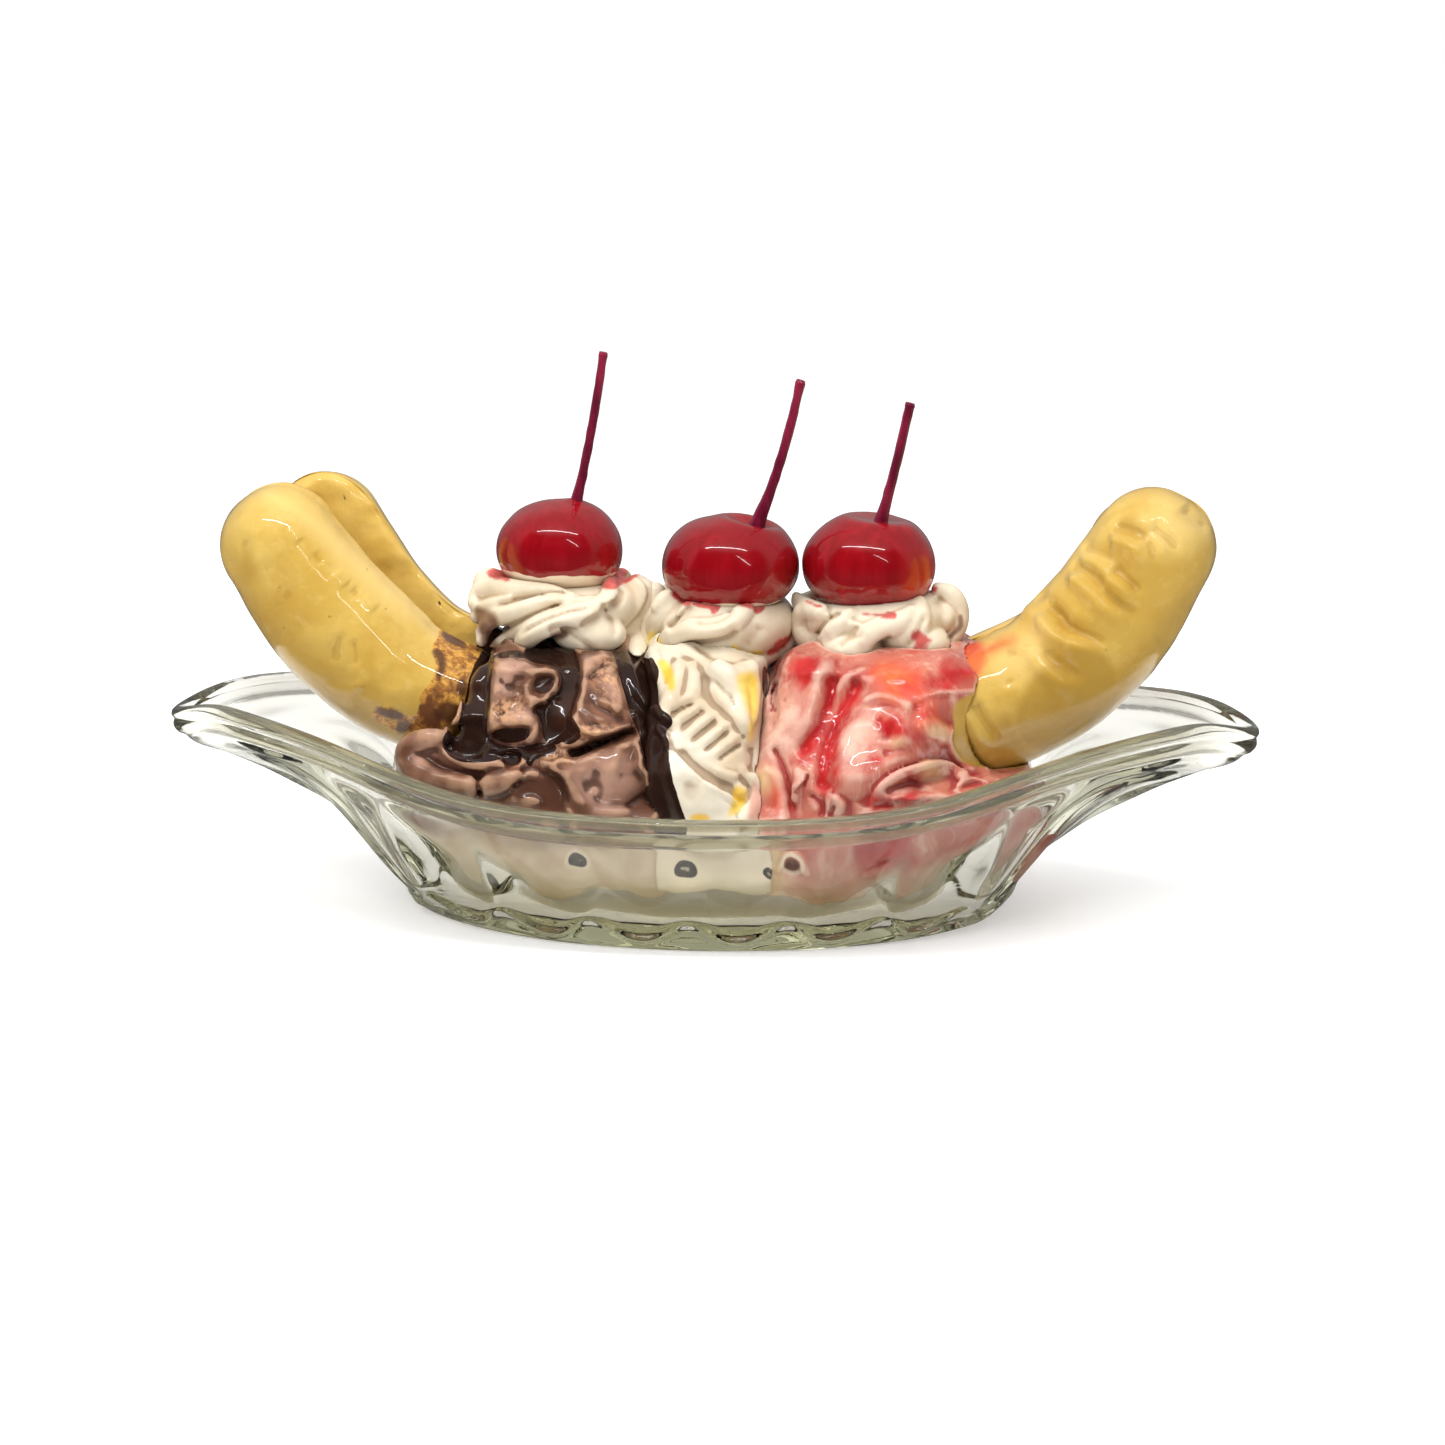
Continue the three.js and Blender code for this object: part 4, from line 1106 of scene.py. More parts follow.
CH = scaled(390, 560, 4.286)        # chocolate
ST = scaled(640, 560, 3.784)        # vanilla and strawberry
CR = scaled(460, 490, 3.0)          # cream


# ------------------------------------------------------------------ bananas
BANANA_MAT = banana_material()
BANANAS = {
    "left_front": dict(spine=[[-92.6, 79.2], [-82.6, 64.8], [-68.3, 51.3], [-54, 45]], r=(13, 14.7, 12.6), y=-7, side=1),
    "left_back": dict(spine=[[-86, 80.3], [-75, 63.6], [-64.5, 53.3], [-51, 47.2]], r=(12.7, 12.8, 12), y=8, side=-1),
    "right_front": dict(spine=[[95.6, 81.1], [86.9, 66.6], [74.5, 53.0], [58.5, 44.4]], r=(13, 14.5, 14.0), y=-7, side=1),
    "right_back": dict(spine=[[94.2, 78.3], [87.0, 65.4], [75.5, 53.4], [59, 45.8]], r=(11.8, 12.8, 12.2), y=8, side=-1),
}


def spine_row(rows, t):
    return row(rows, t)


def banana_points(shape):
    around, along, cap, tail = 112, 132, 22, 8
    rows, (r0, r1, r2), y0, side = shape["spine"], shape["r"], shape["y"], shape["side"]

    def frame_at(t):
        x, z = row(rows, t)
        a, b = row(rows, max(0, t - 0.01)), row(rows, min(1, t + 0.01))
        d = (b - a) / np.linalg.norm(b - a)
        return x, z, d[0], d[1]

    a = np.arange(around) / around * 2 * np.pi
    s, c = np.sin(a), np.cos(a)

    def ring(f, radius, share, shift):
        x, z, tx, tz = f
        n = np.where(s > 0, np.sign(c) * np.abs(c) ** 0.8, c) * radius * share
        w = np.where(s > 0, 4.2 * np.abs(s) ** 0.45 * min(1.0, share * 1.6), 15.5 * s * share)
        return np.stack([x - tz * n + tx * shift, y0 + side * w, z + tx * n + tz * shift], 1)

    def radius(t):
        return r0 + (r1 - r0) * float(smooth(0, 0.45, t)) if t < 0.45 else r1 + (r2 - r1) * float(smooth(0.45, 1, t))

    rings = []
    for k in range(cap, 0, -1):
        b = (k / (cap + 0.4)) * math.pi / 2
        rings.append(ring(frame_at(0), r0, math.cos(b) ** 0.92, -math.sin(b) * r0))
    for k in range(along + 1):
        rings.append(ring(frame_at(k / along), radius(k / along), 1, 0))
    for k in range(1, tail + 1):
        b = (k / (tail + 0.5)) * math.pi / 2
        rings.append(ring(frame_at(1), r2, math.cos(b), math.sin(b) * 6))
    x, z, tx, tz = frame_at(0)
    first = [x - tx * r0, y0, z - tz * r0]
    x, z, tx, tz = frame_at(1)
    last = [x + tx * 6, y0, z + tz * 6]
    m = len(rings)
    p = np.vstack(rings + [[first], [last]])
    i = np.arange(around)
    j = (i + 1) % around
    quads = np.vstack([np.stack([q * around + i, q * around + j, (q + 1) * around + j, (q + 1) * around + i], 1) for q in range(m - 1)])
    tris = np.vstack([np.stack([0 * i + m * around, j, i], 1), np.stack([0 * i + m * around + 1, (m - 1) * around + i, (m - 1) * around + j], 1)])
    quads, tris = outward(p, quads, tris)
    cut = np.zeros((m, around))
    cut[:] = smooth(0.10, 0.28, s)[None]
    edge = np.zeros((m, around))
    edge[:] = np.exp(-((a / (2 * np.pi) * around - 0) / 5.0) ** 2)[None] + np.exp(-((a / (2 * np.pi) * around - around / 2) / 5.0) ** 2)[None]
    return p, quads, tris, np.r_[cut.ravel(), 0, 0], np.r_[edge.ravel(), 0, 0]


BN = scaled(930, 470, 4.0)          # right banana
BL = scaled(200, 460, 3.667)        # left bananas

# creases pressed into the skin: [frame points, width, depth in mm, shape]
CREASES = {
    "left_front": [
        ([(268, 560), (300, 600), (312, 640)], 16, 0.25, "round"),
        ([(330, 640), (338, 670), (330, 690)], 9, 0.35, "round"),
        ([(236, 530), (242, 560), (236, 585)], 10, 0.3, "round"),
        ([(255, 590), (262, 575), (275, 560)], 8, 0.3, "round"),
        ([(345, 720), (352, 700), (350, 680)], 7, -0.4, "round"),
        ([(395, 690), (392, 675), (398, 660)], 8, 0.25, "round"),
        ([(250, 534), (236, 552), (224, 567)], 9, 0.55, "round"),
        ([(292, 584), (280, 612), (267, 645)], 9, 0.55, "round"),
        ([(342, 632), (337, 648), (335, 664)], 6, 0.55, "round"),
        ([(353, 638), (355, 652), (354, 668)], 6, 0.45, "round"),
        ([(226, 590), (232, 612), (246, 634)], 9, 0.4, "round"),
        ([(354, 682), (364, 688)], 4, -0.45, "round"), ([(384, 706), (392, 714)], 4, -0.45, "round"),
        ([(290, 530), (300, 542)], 5, -0.5, "round"), ([(334, 572), (347, 586)], 6, -0.55, "round"), ([(362, 596), (376, 610)], 6, -0.5, "round"),
        ([(314, 552), (322, 564)], 5, 0.4, "round"), ([(352, 588), (358, 596)], 5, 0.4, "round"),
    ],
    "right_front": [
        (BN([(724, 222), (800, 238), (862, 276), (904, 334), (944, 392)]), 7.5, 1.7, "fold"),
        (BN([(556, 376), (620, 398), (684, 452), (742, 512), (868, 596)]), 7.5, 1.7, "fold"),
        (BN([(444, 536), (500, 566), (540, 616), (640, 662), (760, 706)]), 7.5, 1.5, "fold"),
        (BN([(716, 392), (800, 448), (868, 510)]), 7.0, 1.2, "fold"),
        (BN([(880, 214), (960, 280), (1010, 350)]), 8.0, 1.1, "fold"),
        (BN([(1020, 130), (1060, 186), (1130, 214)]), 10.0, 0.9, "round"),
        (BN([(170, 930), (200, 980), (236, 1040), (280, 1110)]), 6.0, 1.1, "fold"),
        (BN([(420, 480), (470, 540), (560, 650), (600, 720)]), 9.0, 0.9, "fold"),
        (BN([(600, 300), (680, 330), (760, 390), (840, 440)]), 8.0, 0.9, "fold"),
        (BN([(330, 690), (300, 780), (330, 880)]), 11.0, 0.6, "round"),
        (BN([(470, 700), (480, 740), (560, 800), (640, 840)]), 8.0, 1.1, "fold"),
        (BN([(900, 700), (960, 640), (1020, 560)]), 12.0, 0.5, "round"),
    ],
}


def press(p, n, strokes):
    """Moves surface points in or out along strokes drawn in the frame, where the surface faces the viewer."""
    u, v = seen(p[:, 0], p[:, 1], p[:, 2])
    view = EYE - p
    facing = smooth(0.0, 0.35, (n * view).sum(1) / np.linalg.norm(view, axis=1))
    d = np.zeros(len(p))
    for pts, width, depth, shape in strokes:
        c = curve(pts, step=4)
        dist, side, along = line_distance(u, v, c)
        fade = smooth(0, 0.2, along) * smooth(1, 0.8, along)
        if shape == "round":
            g = np.exp(-(dist / width) ** 2)
        else:                     # a valley with a swelling on the right-hand side of its line
            sd = dist * side
            fade = smooth(0, 0.12, along) * smooth(1, 0.6, along)
            g = np.exp(-(sd / width) ** 2) - 0.85 * np.exp(-((sd - 1.9 * width) / (1.25 * width)) ** 2)
        d += depth * fade * g
    return p - n * (d * facing)[:, None]


def marks(p, n, areas, soft=3.0, mirror=False):
    """A mask from outlines or lines drawn in the frame: [points] or [points, width]."""
    y = np.where(mirror, -np.abs(p[:, 1]), p[:, 1]) if mirror else p[:, 1]
    u, v = seen(p[:, 0], y, p[:, 2])
    r = np.zeros(len(p))
    for item in areas:
        pts, width = item[0], item[1] if len(item) > 1 else None
        s = item[2] if len(item) > 2 else soft
        if width is None:
            d = area_distance(u, v, rounded(pts))
            r = np.maximum(r, np.clip(0.5 - d / (2 * s), 0, 1))
        else:
            c = curve(pts, step=4)
            d, _, along = line_distance(u, v, c)
            r = np.maximum(r, np.clip(0.5 + (width - d) / (2 * s), 0, 1))
    return r


# painted light: the pale marks lighten lit tops and edges and draw an edge highlight on the back banana
# painted shade: the ochre marks darken the shaded sides and the foot
BANANA_MARKS = {
    "left_front": dict(
        stain=[(BL([(872, 612), (930, 640), (1010, 672), (1080, 700), (1100, 800), (1100, 1040), (900, 1030), (800, 1010), (740, 1010), (690, 985), (640, 950), (630, 915), (700, 905), (760, 940), (800, 930), (806, 860), (840, 820), (866, 750), (850, 690), (876, 650)]), None, 5)],
        burn=[(BL([(880, 622), (920, 630), (985, 668), (960, 690), (905, 668)]), None, 5), (BL([(852, 690), (884, 690), (905, 740), (900, 800), (870, 830), (862, 780), (872, 740)]), None, 6),
              (BL([(860, 890), (930, 880), (970, 930), (940, 975), (860, 960)]), None, 8), (BL([(632, 912), (700, 905), (750, 930), (740, 960), (680, 950)]), None, 6), (BL([(716, 950), (760, 955), (770, 1005), (720, 1000)]), None, 6),
              (BL([(930, 820), (970, 790), (980, 860), (950, 880)]), None, 6)],
        sauce=[([(492, 640), (478, 655), (468, 680), (464, 712), (455, 735), (520, 760), (540, 640)], None, 2.5)],
        pale=[([(262, 500), (300, 520), (340, 565), (380, 600), (420, 628), (440, 640), (450, 620), (400, 580), (350, 540), (300, 500), (262, 486)], None, 9)],
        ochre=[([(222, 560), (240, 620), (290, 690), (350, 735), (400, 755), (400, 715), (350, 680), (300, 630), (262, 580), (240, 540)], None, 26), ([(240, 530), (262, 560), (255, 600), (232, 590)], None, 12)],
    ),
    "left_back": dict(
        pale=[([(262, 500), (300, 470), (340, 480), (400, 560), (470, 620), (480, 660), (420, 640)], None, 12), ([(300, 482), (330, 484), (360, 512), (400, 560), (440, 598), (475, 618)], 4.5, 3)],
        sauce=[([(482, 600), (476, 650), (470, 700), (560, 740), (560, 600)], None, 2.5)],
        burn=[([(323, 524), (326, 528)], 1.6, 1.5), ([(344, 496), (345, 498)], 1.2, 1.2), ([(439, 602), (440, 604)], 1.2, 1.2), ([(348, 547), (350, 549)], 1.0, 1.2)],
    ),
    "right_front": dict(
        ochre=[([(1100, 640), (1060, 650), (1018, 690), (1008, 740), (1060, 764), (1110, 730), (1126, 690)], None, 9), ([(1090, 650), (1060, 660), (1030, 700), (1030, 740), (1080, 740), (1110, 690)], None, 12), ([(1200, 560), (1215, 580), (1150, 690), (1100, 735), (1080, 720), (1140, 640)], None, 22), ([(1010, 700), (985, 740), (1000, 770), (1040, 770)], None, 14)],
        pale=[([(1150, 500), (1190, 510), (1205, 540), (1170, 560), (1140, 540)], None, 14), ([(1040, 610), (1010, 640), (990, 660), (1020, 690), (1050, 650)], None, 14)],
        blush=[([(925, 620), (975, 636), (990, 650), (984, 668), (974, 684), (958, 700), (944, 712), (920, 720)], None, 4.5), ([(980, 655), (1010, 640)], 3, 8)],
    ),
    "right_back": dict(pale=[([(960, 640), (1010, 620)], 5, 6)]),
}

for name, shape in BANANAS.items():
    p, quads, tris, cut, edge = banana_points(shape)
    n = normals(p, quads)
    seed = len(name)
    # an uneven cut face, a soft skin edge and slow lumps
    away = np.array([0, 1.0, 0]) * shape["side"]
    dent = cut * (0.5 + 0.55 * noise(p, 7, seed) + 0.35 * noise(p, 3, seed + 1))
    p = p - away * dent[:, None]
    p = p + n * (edge * (0.25 + 0.2 * noise(p, 5, seed)))[:, None]
    p = p + n * (0.30 * noise(p, 16, seed + 2) + 0.10 * noise(p, 6, seed + 3))[:, None]
    n = normals(p, quads)
    if name in CREASES:
        p = press(p, n, CREASES[name])
        n = normals(p, quads)
    b = bending(p, quads, n, 10)
    att = {"cut": cut, "bend": b}
    for key in ("stain", "burn", "sauce", "pale", "ochre", "blush"):
        att[key] = marks(p, n, BANANA_MARKS[name].get(key, []))
    u, v = seen(p[:, 0], p[:, 1], p[:, 2])
    o = make(f"banana_glaze_{name}", p, quads, BANANA_MAT, att, tris)
    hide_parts(f"banana_{name}")


def ellipsoid(c, r):
    def f(X, Y, Z):
        x, y, z = (X - c[0]) / r[0], (Y - c[1]) / r[1], (Z - c[2]) / r[2]
        k0 = np.sqrt(x * x + y * y + z * z)
        k1 = np.sqrt((x / r[0]) ** 2 + (y / r[1]) ** 2 + (z / r[2]) ** 2)
        return k0 * (k0 - 1) / np.maximum(k1, 1e-4)
    return f


def banana_field(shape, grow):
    rows, (r0, r1, r2), y0, side = shape["spine"], shape["r"], shape["y"], shape["side"]
    pts = np.array([row(rows, t) for t in np.linspace(0, 1, 14)])
    rad = np.array([r0 + (r1 - r0) * float(smooth(0, 0.45, t)) if t < 0.45 else r1 + (r2 - r1) * float(smooth(0.45, 1, t)) for t in np.linspace(0, 1, 14)])

    def f(X, Y, Z):
        X, Z = X + 0 * Z, Z + 0 * X
        best = np.full(X.shape, 1e6, np.float32)
        r = np.full(X.shape, r1, np.float32)
        for i in range(13):
            e = pts[i + 1] - pts[i]
            l2 = e @ e
            t = ((X - pts[i][0]) * e[0] + (Z - pts[i][1]) * e[1]) / l2
            past = np.maximum(t - 1, 0) * math.sqrt(l2) if i == 12 else 0
            t = np.clip(t, 0, 1)
            d = np.hypot(X - pts[i][0] - e[0] * t, Z - pts[i][1] - e[1] * t)
            d = np.sqrt(d * d + past * past * ((rad[-1] / 6.0) ** 2 - 1))
            near = d < best
            best = np.where(near, d, best)
            r = np.where(near, rad[i] + (rad[i + 1] - rad[i]) * t, r)
        w = (Y - y0) * side
        back = np.sqrt((best / r) ** 2 + (np.minimum(w, 0) / 15.5) ** 2)
        d = (back - 1) * np.minimum(r, 15.5)
        return np.maximum(d, w - 4.2) - grow
    return f


# ---------------------------------------------------------------- creams
CREAM_MAT = cream_material()
CREAMS = [dict(x=-32.6, r=19.3, z0=58.2, z1=72.8), dict(x=3.0, r=17.0, z0=53.9, z1=70.2), dict(x=38.2, r=18.2, z0=57.2, z1=70.8)]


def cream_base(c, wide=1.0, low=0.0):
    g = Clay((c["x"] - c["r"] - 3, -c["r"] - 3.2, c["z0"] - 2.4), (c["x"] + c["r"] + 3, 0, c["z1"] + 5), 0.45)
    mid = (c["z0"] + c["z1"]) / 2
    half = (c["z1"] - c["z0"]) / 2
    g.add(ellipsoid((c["x"], 0, mid + 0.6), (c["r"] * 0.90 * wide, c["r"] * 0.86, half * 0.98)))
    return g


cream_fields = []

# cream under cherry 1: long ridges swept to the left, a hook and a broad petal
g = cream_base(CREAMS[0], 0.98)
g.lay(CR([(560, 300, 3.1), (552, 345, 4.1), (505, 400, 4.2), (440, 450, 3.8), (395, 478, 2.8)]), 0.96, lift=-1.1)
g.slab(CR([(455, 262), (520, 250), (565, 290), (556, 345), (505, 405), (440, 455), (385, 486), (352, 478), (345, 440), (395, 400), (440, 350), (450, 300)]), 1.3, 0.7)
g.lay(CR([(118, 262, 2.0), (80, 258, 2.6), (56, 272, 2.0), (52, 288, 1.5)]), 0.60, lift=-0.6)
g.lay(CR([(340, 330, 1.8), (270, 312, 2.4), (200, 300, 2.8), (120, 296, 2.9), (70, 306, 2.7), (44, 340, 1.9)]), 0.84, lift=-0.3)
g.lay(CR([(330, 322, 1.4), (270, 322, 1.9), (205, 348, 2.4), (140, 372, 2.4), (85, 384, 2.2), (52, 382, 1.7)]), 0.72, lift=-0.3)
g.lay(CR([(440, 336, 1.7), (372, 352, 2.4), (290, 378, 2.9), (200, 420, 3.1), (140, 458, 2.7), (108, 484, 1.9)]), 0.72, lift=-0.2)
g.lay(CR([(150, 330, 1.3), (100, 345, 1.7), (60, 352, 1.3)]), 0.96, lift=-0.2)
g.lay(CR([(88, 402, 1.5), (64, 424, 1.8), (60, 450, 1.3)]), 0.96, lift=-0.5)
g.lay(CR([(452, 276, 1.5), (452, 312, 2.0), (430, 345, 2.4), (385, 366, 2.7), (320, 384, 2.8), (255, 404, 2.7), (205, 438, 2.4), (184, 476, 2.2), (198, 500, 1.9), (232, 496, 1.7), (250, 478, 1.2)]), 0.54, lift=0.4)
g.lay(CR([(484, 300, 1.2), (470, 340, 1.5), (430, 380, 1.5), (376, 404, 1.3)]), 0.84, lift=-0.3, cut=True)
g.crease(CR([(345, 318), (280, 310), (215, 318), (150, 336), (96, 350)]), 3.0, 1.0, 0.15, "round")
g.crease(CR([(330, 338), (250, 362), (165, 400), (100, 440), (84, 470)]), 2.6, 1.1, 0.15, "round")
g.crease(CR([(410, 352), (310, 372), (220, 410), (170, 448)]), 2.4, 0.9, 0.2, "round")
g.crease(CR([(255, 424), (300, 412), (345, 424), (350, 470)]), 3.5, 1.3, 0.15)
g.crease(CR([(300, 330), (262, 318), (236, 322)]), 1.2, 0.7, 0.2, "round")
g.crease(CR([(214, 482), (226, 478), (238, 470)]), 1.6, 0.8, 0.2)
g.lay(CR([(500, 420, 1.5), (530, 455, 2.8), (540, 495, 3.1), (545, 525, 1.9)]), 0.96, lift=-1.4)
g.add(ellipsoid((-24.5, -12.5, 61.8), (8.0, 6.5, 4.4)), 2.0)
g.list = None
g.crease([(560, 626), (580, 640), (596, 652)], 3.0, 0.8, 0.2)
g.crease([(600, 600), (612, 622), (616, 640)], 3.4, 0.7, 0.2)

cream_fields.append((g, 0))

# cream under cherry 2: an S lobe, a knob on the left and a rolled lower lip
g = cream_base(CREAMS[1], 1.0)
g.slab(CR([(690, 318), (840, 330), (900, 350), (1000, 330), (1000, 430), (960, 480), (880, 520), (790, 548), (745, 545), (640, 500), (620, 440), (650, 360)]), 1.2, 1.2)
g.lay(CR([(580, 300, 2.3), (575, 340, 3.1), (568, 385, 3.1), (562, 420, 2.6), (572, 470, 2.6), (596, 490, 2.3)]), 0.84, lift=-0.7)
g.lay(CR([(676, 312, 1.7), (640, 335, 2.3), (606, 372, 2.6), (584, 410, 2.2), (590, 440, 1.5)]), 0.66, lift=-0.2)
g.lay(CR([(630, 312, 1.3), (606, 330, 1.7), (590, 352, 1.3)]), 0.60, lift=0.1)
g.lay(CR([(860, 362, 1.7), (835, 380, 2.4), (800, 412, 2.8), (740, 424, 2.8), (680, 422, 2.8), (640, 444, 2.9), (624, 484, 2.8), (634, 528, 2.6), (640, 560, 1.8)]), 0.60, lift=0.1)
g.crease(CR([(700, 342), (672, 372), (646, 398), (622, 420)]), 3.2, 1.3, 0.15)
g.crease(CR([(830, 350), (796, 388), (744, 402), (690, 396)]), 3.4, 0.9, 0.2)
g.crease(CR([(840, 404), (800, 440), (730, 456), (686, 466), (660, 500)]), 5.0, 1.4, 0.15)
g.lay(CR([(1002, 420, 1.5), (985, 455, 2.0), (935, 490, 2.2), (870, 508, 2.4), (800, 520, 2.6), (760, 530, 2.6), (742, 550, 2.0), (752, 566, 1.3)]), 0.60, lift=-0.2)
g.lay(CR([(752, 508, 1.8), (790, 496, 2.0), (842, 494, 1.5)]), 1.20, lift=-0.8)
g.crease(CR([(770, 545), (820, 532), (866, 524)]), 1.6, 0.6, 0.2, "round")
g.crease(CR([(905, 400), (880, 440), (850, 468)]), 7, 0.8, 0.2)
cream_fields.append((g, 1))

# cream under cherry 3: pointed tip on the left, curl below, tall rolled edge on the right
g = cream_base(CREAMS[2], 1.0)
g.slab(CR([(1008, 320), (1060, 345), (1110, 372), (1210, 400), (1250, 440), (1220, 500), (1130, 470), (1060, 470), (1012, 440), (1004, 390)]), 1.2, 1.0)
g.lay(CR([(1006, 318, 1.0), (1012, 338, 1.8), (1040, 356, 2.3), (1080, 366, 2.0)]), 0.60, lift=-0.2)
g.lay(CR([(1016, 370, 1.9), (1018, 410, 2.8), (1040, 448, 3.1), (1080, 462, 2.6)]), 1.08, lift=-0.8)
g.lay(CR([(1170, 372, 1.5), (1136, 398, 2.3), (1112, 430, 2.7), (1100, 462, 2.2)]), 0.72, lift=-0.2)
g.crease(CR([(1150, 368), (1112, 386), (1084, 410), (1070, 440)]), 2.8, 1.2, 0.15)
g.lay(CR([(1352, 366, 1.5), (1330, 392, 2.2), (1280, 410, 2.6), (1232, 434, 2.8), (1196, 466, 2.8), (1180, 490, 1.9)]), 0.60, lift=0.0)
g.crease(CR([(1300, 440), (1262, 462), (1240, 494)]), 4.6, 1.2, 0.15)
g.crease(CR([(1200, 404), (1166, 436), (1140, 464)]), 3.6, 0.8, 0.2)
g.lay(CR([(1120, 478, 1.5), (1122, 506, 1.9), (1156, 520, 2.0), (1196, 524, 1.9), (1222, 508, 1.4)]), 0.42, lift=0.0)
g.lay(CR([(1134, 486, 1.2), (1166, 492, 1.5), (1200, 498, 1.3)]), 0.48, lift=0.1)
g.crease(CR([(1128, 488), (1150, 504), (1190, 510)]), 1.6, 0.9, 0.15, "round")
g.lay(CR([(1380, 330, 1.8), (1386, 380, 2.6), (1360, 430, 3.1), (1310, 462, 3.1), (1276, 492, 2.3)]), 1.20, lift=-0.9)
g.lay(CR([(1436, 292, 1.5), (1474, 306, 2.2), (1496, 350, 2.6), (1496, 404, 2.6), (1468, 452, 2.4), (1420, 486, 2.2), (1370, 508, 1.7)]), 0.60, lift=-0.5)
g.crease(CR([(1420, 320), (1446, 366), (1440, 420), (1400, 466)]), 6, 1.0, 0.15)
g.crease(CR([(1492, 404), (1464, 462), (1410, 500), (1370, 514)]), 1.3, 0.6, 0.15, "round")
g.add(ellipsoid((32.0, -12.5, 59.8), (6.4, 5.6, 3.8)), 1.6)
g.add(ellipsoid((47.0, -9.5, 60.6), (6.0, 6.5, 4.0)), 1.6)
g.list = None
g.crease([(838, 650), (848, 640), (866, 634)], 3.0, 0.8, 0.2)
g.crease([(905, 648), (918, 632), (926, 612)], 3.4, 0.8, 0.2)
cream_fields.append((g, 2))

CREAM_MARKS = [
    dict(brown=[(CR([(40, 360), (60, 350), (112, 372), (120, 420), (96, 440), (120, 470), (112, 500), (60, 470), (50, 410)]), None, 8),
                (CR([(262, 432), (300, 416), (332, 428), (320, 446), (280, 450)]), None, 5), (CR([(196, 492), (236, 482)]), 4, 5), (CR([(110, 470), (150, 480)]), 3, 5)],
         red=[([(602, 584), (612, 574), (626, 568), (641, 571), (636, 579), (622, 585), (612, 591), (604, 590)], None, 3), ([(486, 570), (498, 566), (512, 576), (508, 582), (496, 579), (488, 576)], None, 3)]),
    dict(yellow=[(CR([(735, 492), (760, 476), (836, 478), (870, 486), (920, 474), (900, 500), (800, 516), (745, 512)]), None, 4),
                 (CR([(560, 420), (600, 430), (612, 480), (590, 496), (562, 470)]), None, 6), (CR([(822, 468), (836, 482), (828, 496)]), 2, 2)],
         red=[(CR([(920, 486), (960, 446), (1000, 432), (994, 456), (950, 488), (926, 500)]), None, 3.5), ([(690, 602), (722, 603), (719, 612), (713, 616), (709, 608), (694, 606)], None, 2.5), ([(738, 602), (764, 599), (766, 609), (757, 616), (752, 607), (740, 606)], None, 2.5),
              ([(668, 590), (684, 594), (694, 601), (686, 608), (678, 600), (670, 596)], None, 3)]),
    dict(red=[(CR([(1350, 430), (1386, 424), (1416, 446), (1390, 476), (1330, 498), (1370, 460)]), None, 5), (CR([(1030, 330), (1060, 336), (1092, 352), (1060, 350)]), None, 3),
              (CR([(1200, 366), (1250, 372), (1306, 362), (1312, 384), (1282, 390), (1262, 380), (1210, 376)]), None, 3), (CR([(1396, 300), (1436, 286), (1430, 306)]), None, 3)],
         brown=[(CR([(1470, 440), (1500, 410), (1502, 380)]), 2.5, 4)]),
]

CREAM_MESHES = []
for g, i in cream_fields:
    c = CREAMS[i]
    ch = CHERRIES[i]
    low, high = c["z0"], c["z1"]
    s = (slice(None),) * 3
    X, Y, Z = g.axes(s)
    # the cherry's seat, and a nearly flat foot
    seat = ellipsoid(ch["at"], (ch["r"] + 0.25, ch["r"] + 0.25, ch["h"] + 0.25))(X, Y, Z)
    g.f = smax(g.f, -seat.astype(np.float32), 0.5)
    g.f = smax(g.f, ((low - 0.6) - Z + 0 * X + 0 * Y).astype(np.float32), 1.0)
    if i == 0:
        collar = ellipsoid((ch["at"][0] - 1.0, 0, ch["at"][2] - 1.2), (ch["r"] * 1.03, ch["r"] * 1.06, ch["h"] * 0.72))(X, Y, Z)
        g.f = smax(g.f, -collar.astype(np.float32), 0.8)
    CREAM_MESHES.append(g)


def finish_clay(g, hold=0.0, warp=0.5, seed=1, times=2):
    """Meshes the clay with its mirror image, evens out the steps and breaks the mirror slightly."""
    p, q = g.mirrored().mesh()
    p, q = largest(p, q)
    q, _ = outward(p, q)
    p = relax(p, q, times, hold)
    back = smooth(0.0, 10.0, p[:, 1])
    for c in range(3):
        p[:, c] += back * warp * noise(p + 31.7 * c, 11.0, seed + c)
    return p, q


for g, i in cream_fields:
    p, q = finish_clay(g, seed=20 + i, times=7)
    n = normals(p, q)
    att = {"bend": bending(p, q, n, 6)}
    m = CREAM_MARKS[i]
    front = np.where(p[:, 1] > 0, 0.0, 1.0)
    for key in ("yellow", "brown", "red"):
        att[key] = marks(p, n, m.get(key, []), mirror=True) * np.where(p[:, 1] > 0, 0.9, 1.0)
    o = make(f"whipped_cream_{i + 1}", p, q, CREAM_MAT, att)
    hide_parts(f"cream_{i + 1}")
    print("cream", i + 1, len(q) * 2)


# ----------------------------------------------------------- ice cream masses
STEP = 0.6
PROFILE = np.array([  # height share, long share, deep share
    [0.00, 0.80, 0.84], [0.07, 0.86, 0.92], [0.12, 0.91, 0.965], [0.2, 0.96, 0.99], [0.4, 1.0, 1.0],
    [0.58, 0.965, 0.93], [0.76, 0.88, 0.78], [0.92, 0.74, 0.58], [1.0, 0.56, 0.44]])


